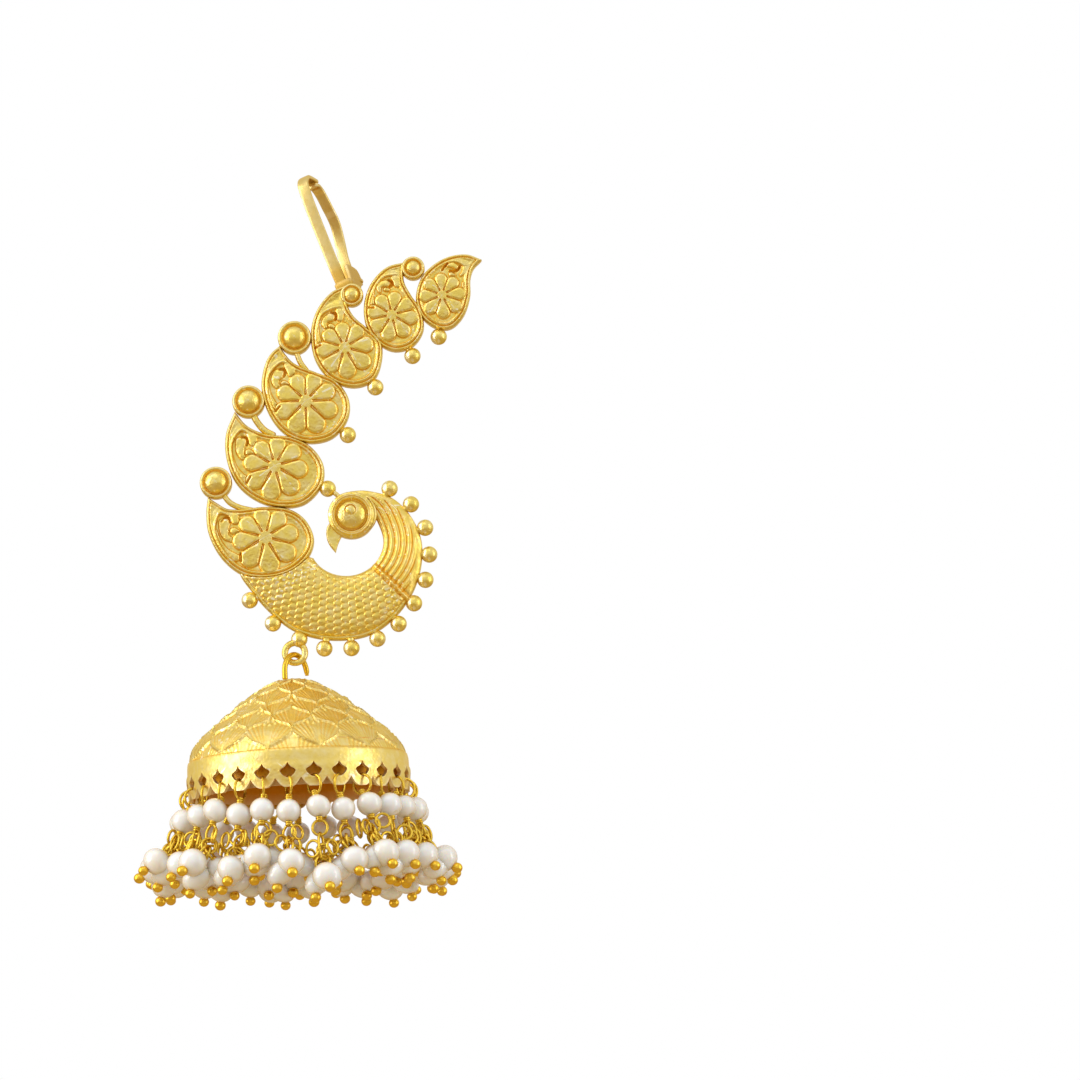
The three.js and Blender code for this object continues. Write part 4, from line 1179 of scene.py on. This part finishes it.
pressed_gold = gold_material(
    "pressed_gold", (0.87, 0.655, 0.165), (0.82, 0.43, 0.02), (0.97, 0.89, 0.62), 0.35, 2600, 0.1)
add_piece("bell_dome", in_bell(points), faces, pressed_gold, "bell", ["bell_dome"],
          np.concatenate(shades), 50, True)

# ---- the bell's wire hook ----
# A stout round wire: one leg stands on the crown, the top goes through the eyelet, and the
# other leg comes down free to a cut end just over the crown.

HOOK_RADIUS = 2.5
HOOK_WIRE = 0.37
HOOK_TURN = math.radians(56)
HOOK_TOP = -9.56
HOOK_X = 0.3
HOOK_FOOT = -12.95               # on the dome's crown
HOOK_STEPS = 90

wire_gold = gold_material(
    "wire_gold", (0.72, 0.45, 0.035), (0.5, 0.24, 0.02), (0.80, 0.56, 0.07), 0.28, 3000, 0.01)
bend = HOOK_TOP - HOOK_RADIUS
over = np.radians(np.linspace(180, 0, 34))
route = [(-HOOK_RADIUS, HOOK_FOOT), (-HOOK_RADIUS, -12.5), (-HOOK_RADIUS, bend - 0.1)]
route += [(HOOK_RADIUS * math.cos(a), bend + HOOK_RADIUS * math.sin(a)) for a in over]
route += [(HOOK_RADIUS, bend - 0.06)]
route = smooth_line(route, HOOK_STEPS)
line = np.c_[HOOK_X + route[:, 0] * math.cos(HOOK_TURN), route[:, 0] * math.sin(HOOK_TURN),
             route[:, 1]]
thick = HOOK_WIRE * (1 - 0.3 * ease(HOOK_STEPS - 6, HOOK_STEPS, np.arange(HOOK_STEPS + 1)))
points, faces = swept(line, thick, thick, (-math.sin(HOOK_TURN), math.cos(HOOK_TURN), 0), 24)
add_piece("bell_hook", in_bell(points), faces, wire_gold, "bell", ["bell_hook"])

# ---- the pearl fringe ----
# A strand hangs from each hole: a wire ring, a pearl, a long wire eye, and at its foot three
# pearls on pins. The pins are held by gold balls. Pearls and wires vary a little, as they are
# strung by hand.

RING = np.array((14.53, -28.5))
RING_RADIUS = 1.3
UPPER_PEARL = np.array((15.5, -31.5))
FOOT = np.array((16.2, -36.3))
LOWER_PEARLS = [np.array(p) for p in ((18.3, -38.5), (14.9, -38.3), (16.9, -39.6))]
PEARL_RADIUS = 1.68
BALL_RADIUS = 0.73
BALL_OUT = 2.15                  # from a lower pearl's middle to its gold ball's
WIRE = 0.195
LOOP_RADIUS = 0.95
LOW_STRAND = 1                   # this one hangs lower than the others
LOW_STRAND_DROP = 1.9
SIDEWAYS = np.array((0.0, 1.0, 0.0))     # along the bell's edge, in a strand's own frame

pearl_skin = bpy.data.materials.new("pearl_skin")
pearl_skin.use_nodes = True
tree = pearl_skin.node_tree
shader = tree.nodes["Principled BSDF"]
set_sockets(shader, Roughness=0.26, Subsurface_Weight=0.3, Subsurface_Radius=(1, 0.65, 0.35),
            Subsurface_Scale=0.9 * MM, Sheen_Weight=0.7, Sheen_Roughness=0.35,
            Sheen_Tint=(1, 0.8, 0.5, 1), Coat_Weight=1, Coat_Roughness=0.12)
place = new_node(tree, "TexCoord")
clouds = new_node(tree, "TexNoise", Scale=420, Detail=3)
tint = new_node(tree, "ValToRGB")
for stop, position, colour in zip(tint.color_ramp.elements, (0.35, 0.6),
                                  ((0.88, 0.85, 0.79, 1), (0.87, 0.89, 0.90, 1))):
    stop.position = position
    stop.color = colour
side = new_node(tree, "LayerWeight", Blend=0.5)     # painted shade and painted warm reflection: the skin is darker and warmer seen aslant
rim_shade_share = new_node(tree, "MapRange", From_Min=0.3, From_Max=0.95, To_Max=0.8)
rim_shaded_skin = new_node(tree, "Mix")
rim_shaded_skin.data_type = "RGBA"
rim_shaded_skin.inputs["B"].default_value = (0.62, 0.44, 0.20, 1)
join_nodes(tree, (place, "Object", clouds, "Vector"), (clouds, "Fac", tint, "Fac"),
           (side, "Facing", rim_shade_share, "Value"), (rim_shade_share, "Result", rim_shaded_skin, "Factor"),
           (tint, "Color", rim_shaded_skin, "A"), (rim_shaded_skin, "Result", shader, "Base Color"))

ball_gold = gold_material(
    "ball_gold", (0.88, 0.53, 0.03), (0.5, 0.24, 0.02), (0.95, 0.68, 0.12), 0.32, 3000, 0.02)

draw = np.random.default_rng(27)


def unit(way):
    return way / np.linalg.norm(way)


def wire_ring(centre, first, second, radius, tall, steps=28):
    """A closed wire ring about the centre, round first and second, in the strand's frame."""
    first, second = unit(np.asarray(first, float)), unit(np.asarray(second, float))
    c, s = circle(steps).T[:, :, None]
    line = centre + first * c * radius + second * s * tall
    return swept(line, WIRE, WIRE, np.cross(first, second), 6, 1.0, True)


def wrap(centre, first, radius=0.32):
    """One turn of wire wound round a straight piece of it."""
    return wire_ring(centre, first, SIDEWAYS, radius, radius, 14)


def straight(start, end):
    """A straight wire between two points."""
    lift = np.cross(unit(end - start), SIDEWAYS)
    return swept([start + (end - start) * k for k in (0, 0.5, 1)], WIRE, WIRE, unit(lift), 8)


def any_side(flat, least, most):
    """A way between flat and sideways, drawn between two turns given in radians."""
    turn = draw.uniform(least, most)
    return flat * math.cos(turn) + SIDEWAYS * math.sin(turn)


def in_strand(flat):
    """From (out, up) to the strand's own frame."""
    return np.array((flat[0], 0.0, flat[1]))


def pearl(centre, way, radius):
    """A pearl drilled along way, a little flattened where the wire goes in."""
    shape, faces = ball(radius, 30, 18)
    shape = shape * (1 + draw.uniform(-0.03, 0.03, 3))
    shape[:, 2] *= 0.95
    near = np.hypot(shape[:, 0], shape[:, 1])
    shape[:, 2] -= np.sign(shape[:, 2]) * 0.14 * bump(near, 0.3)
    way = unit(way)
    return centre + shape @ np.stack([np.cross(SIDEWAYS, way), SIDEWAYS, way]), faces


for number in range(HOLE_COUNT):
    # The ring in the hole and the upper pearl
    ring_twist = math.radians(draw.uniform(-55, 55))
    ring_side = np.array((math.cos(ring_twist), math.sin(ring_twist), 0))
    ring_middle = in_strand(RING)
    wires = [wire_ring(ring_middle, ring_side, (0, 0, 1), RING_RADIUS, RING_RADIUS)]
    pearls, balls = [], []
    upper = in_strand(UPPER_PEARL + draw.uniform((-0.3, -0.55), (0.3, 0.45)))
    upper = upper + SIDEWAYS * draw.uniform(-0.2, 0.2)
    bottom = ring_middle - (0, 0, RING_RADIUS)
    way = unit(upper - bottom)
    flat = np.cross(way, SIDEWAYS)
    wires += [wrap(upper - way * (PEARL_RADIUS * 0.9 + step), flat) for step in (0.12, 0.42, 0.72)]
    wires.append(straight(bottom, upper - way))
    pearls.append(pearl(upper, way, PEARL_RADIUS * draw.uniform(0.93, 0.99)))

    # The long eye under it, the link and the three loops at the strand's foot
    to_left = max(0, -math.sin(FIRST_HOLE + number * cell)) ** 2     # these stand out more
    lower = LOW_STRAND_DROP if number == LOW_STRAND else 0
    drop = (0, 0, draw.uniform(-0.6, 0.6) + 0.6 * to_left - lower)
    foot = in_strand(FOOT + draw.uniform(-0.25, 0.25, 2)) + drop
    down = unit(foot - upper)
    under = upper + down * PEARL_RADIUS * 0.92
    flat = np.cross(down, SIDEWAYS)
    wires += [wrap(under + down * step, flat) for step in (0.08, 0.38)]
    eye_side = any_side(flat, 0.7, 2.4)
    eye_long = draw.uniform(1.0, 1.25)
    wires.append(straight(under - down * 0.3, under + down * 0.55))
    wires.append(wire_ring(under + down * (0.4 + eye_long), eye_side, down,
                           draw.uniform(0.85, 1.05), eye_long))
    link_start = under + down * (0.1 + 2 * eye_long)
    link_end = foot + down * 0.2
    link_long = np.linalg.norm(link_end - link_start) / 2
    link_side = np.cross(eye_side, down) + eye_side * draw.uniform(-0.6, 0.6)
    wires.append(wire_ring((link_start + link_end) / 2, link_side, down, LOOP_RADIUS,
                           max(link_long, 0.9)))
    for spread in (-1.2, 0.2, 1.4):
        loop_middle = foot + np.array((draw.uniform(-0.5, 0.5), spread + draw.uniform(-0.4, 0.4),
                                       draw.uniform(-0.2, 1.9)))
        loop_side = any_side(flat, 0.6, 2.5)
        wires.append(wire_ring(loop_middle, loop_side, down, LOOP_RADIUS, draw.uniform(0.95, 1.2)))

    # The three lower pearls, each on its pin between a wire loop and a gold ball
    for flat_middle, aside in zip(LOWER_PEARLS, (0.0, 0.9, -0.9)):
        middle = in_strand(flat_middle + draw.uniform((-0.35, -0.45), (0.35, 0.45))) + drop
        middle = middle + SIDEWAYS * (aside + draw.uniform(-0.35, 0.35))
        gap = np.linalg.norm(middle - foot)
        way = (middle - foot) / gap
        loop_long = min(1.05, (gap - PEARL_RADIUS * 0.93 + 0.5) / 2)
        loop_middle = foot + way * (loop_long - 0.4)
        flat = np.cross(way, SIDEWAYS)
        wires.append(wire_ring(loop_middle, any_side(flat, 0.5, 2.6), way,
                               max(0.85, loop_long * 0.95), loop_long))
        wires.append(straight(loop_middle + way * loop_long, middle + way * (BALL_OUT - 0.2)))
        wires.append(wrap(middle - way * (PEARL_RADIUS * 0.95 + 0.06), flat, 0.26))
        shape, faces = ball(BALL_RADIUS * draw.uniform(0.93, 1.03), 20, 12)
        balls.append((shape * (1, 1, 0.94) + middle + way * BALL_OUT, faces))
        pearls.append(pearl(middle, way, PEARL_RADIUS * draw.uniform(1.04, 1.12)))

    # The strand is swung a little about its ring and turned to its hole
    sway = math.radians(1.2) * math.sin(1.3 * number)
    lean = -math.radians(2 + 4 * math.sin(2.4 * number) + 6 * to_left)
    swing = np.array(Matrix.Rotation(sway, 3, "X") @ Matrix.Rotation(lean, 3, "Y"))
    to_hole = np.array(Matrix.Rotation(-math.pi / 2 + FIRST_HOLE + number * cell, 3, "Z"))
    for what, parts, material, finish in (("pearls", pearls, pearl_skin, "pearl"),
                                          ("wires", wires, wire_gold, "gold_wire"),
                                          ("balls", balls, ball_gold, "gold_wire")):
        points, faces = joined(parts)
        points = ring_middle + (points - ring_middle) @ swing.T
        add_piece(f"strand_{number + 1:02d}_{what}", in_bell(points @ to_hole.T), faces, material,
                  "bell", [f"pearl_strand_{number + 1:02d}"])
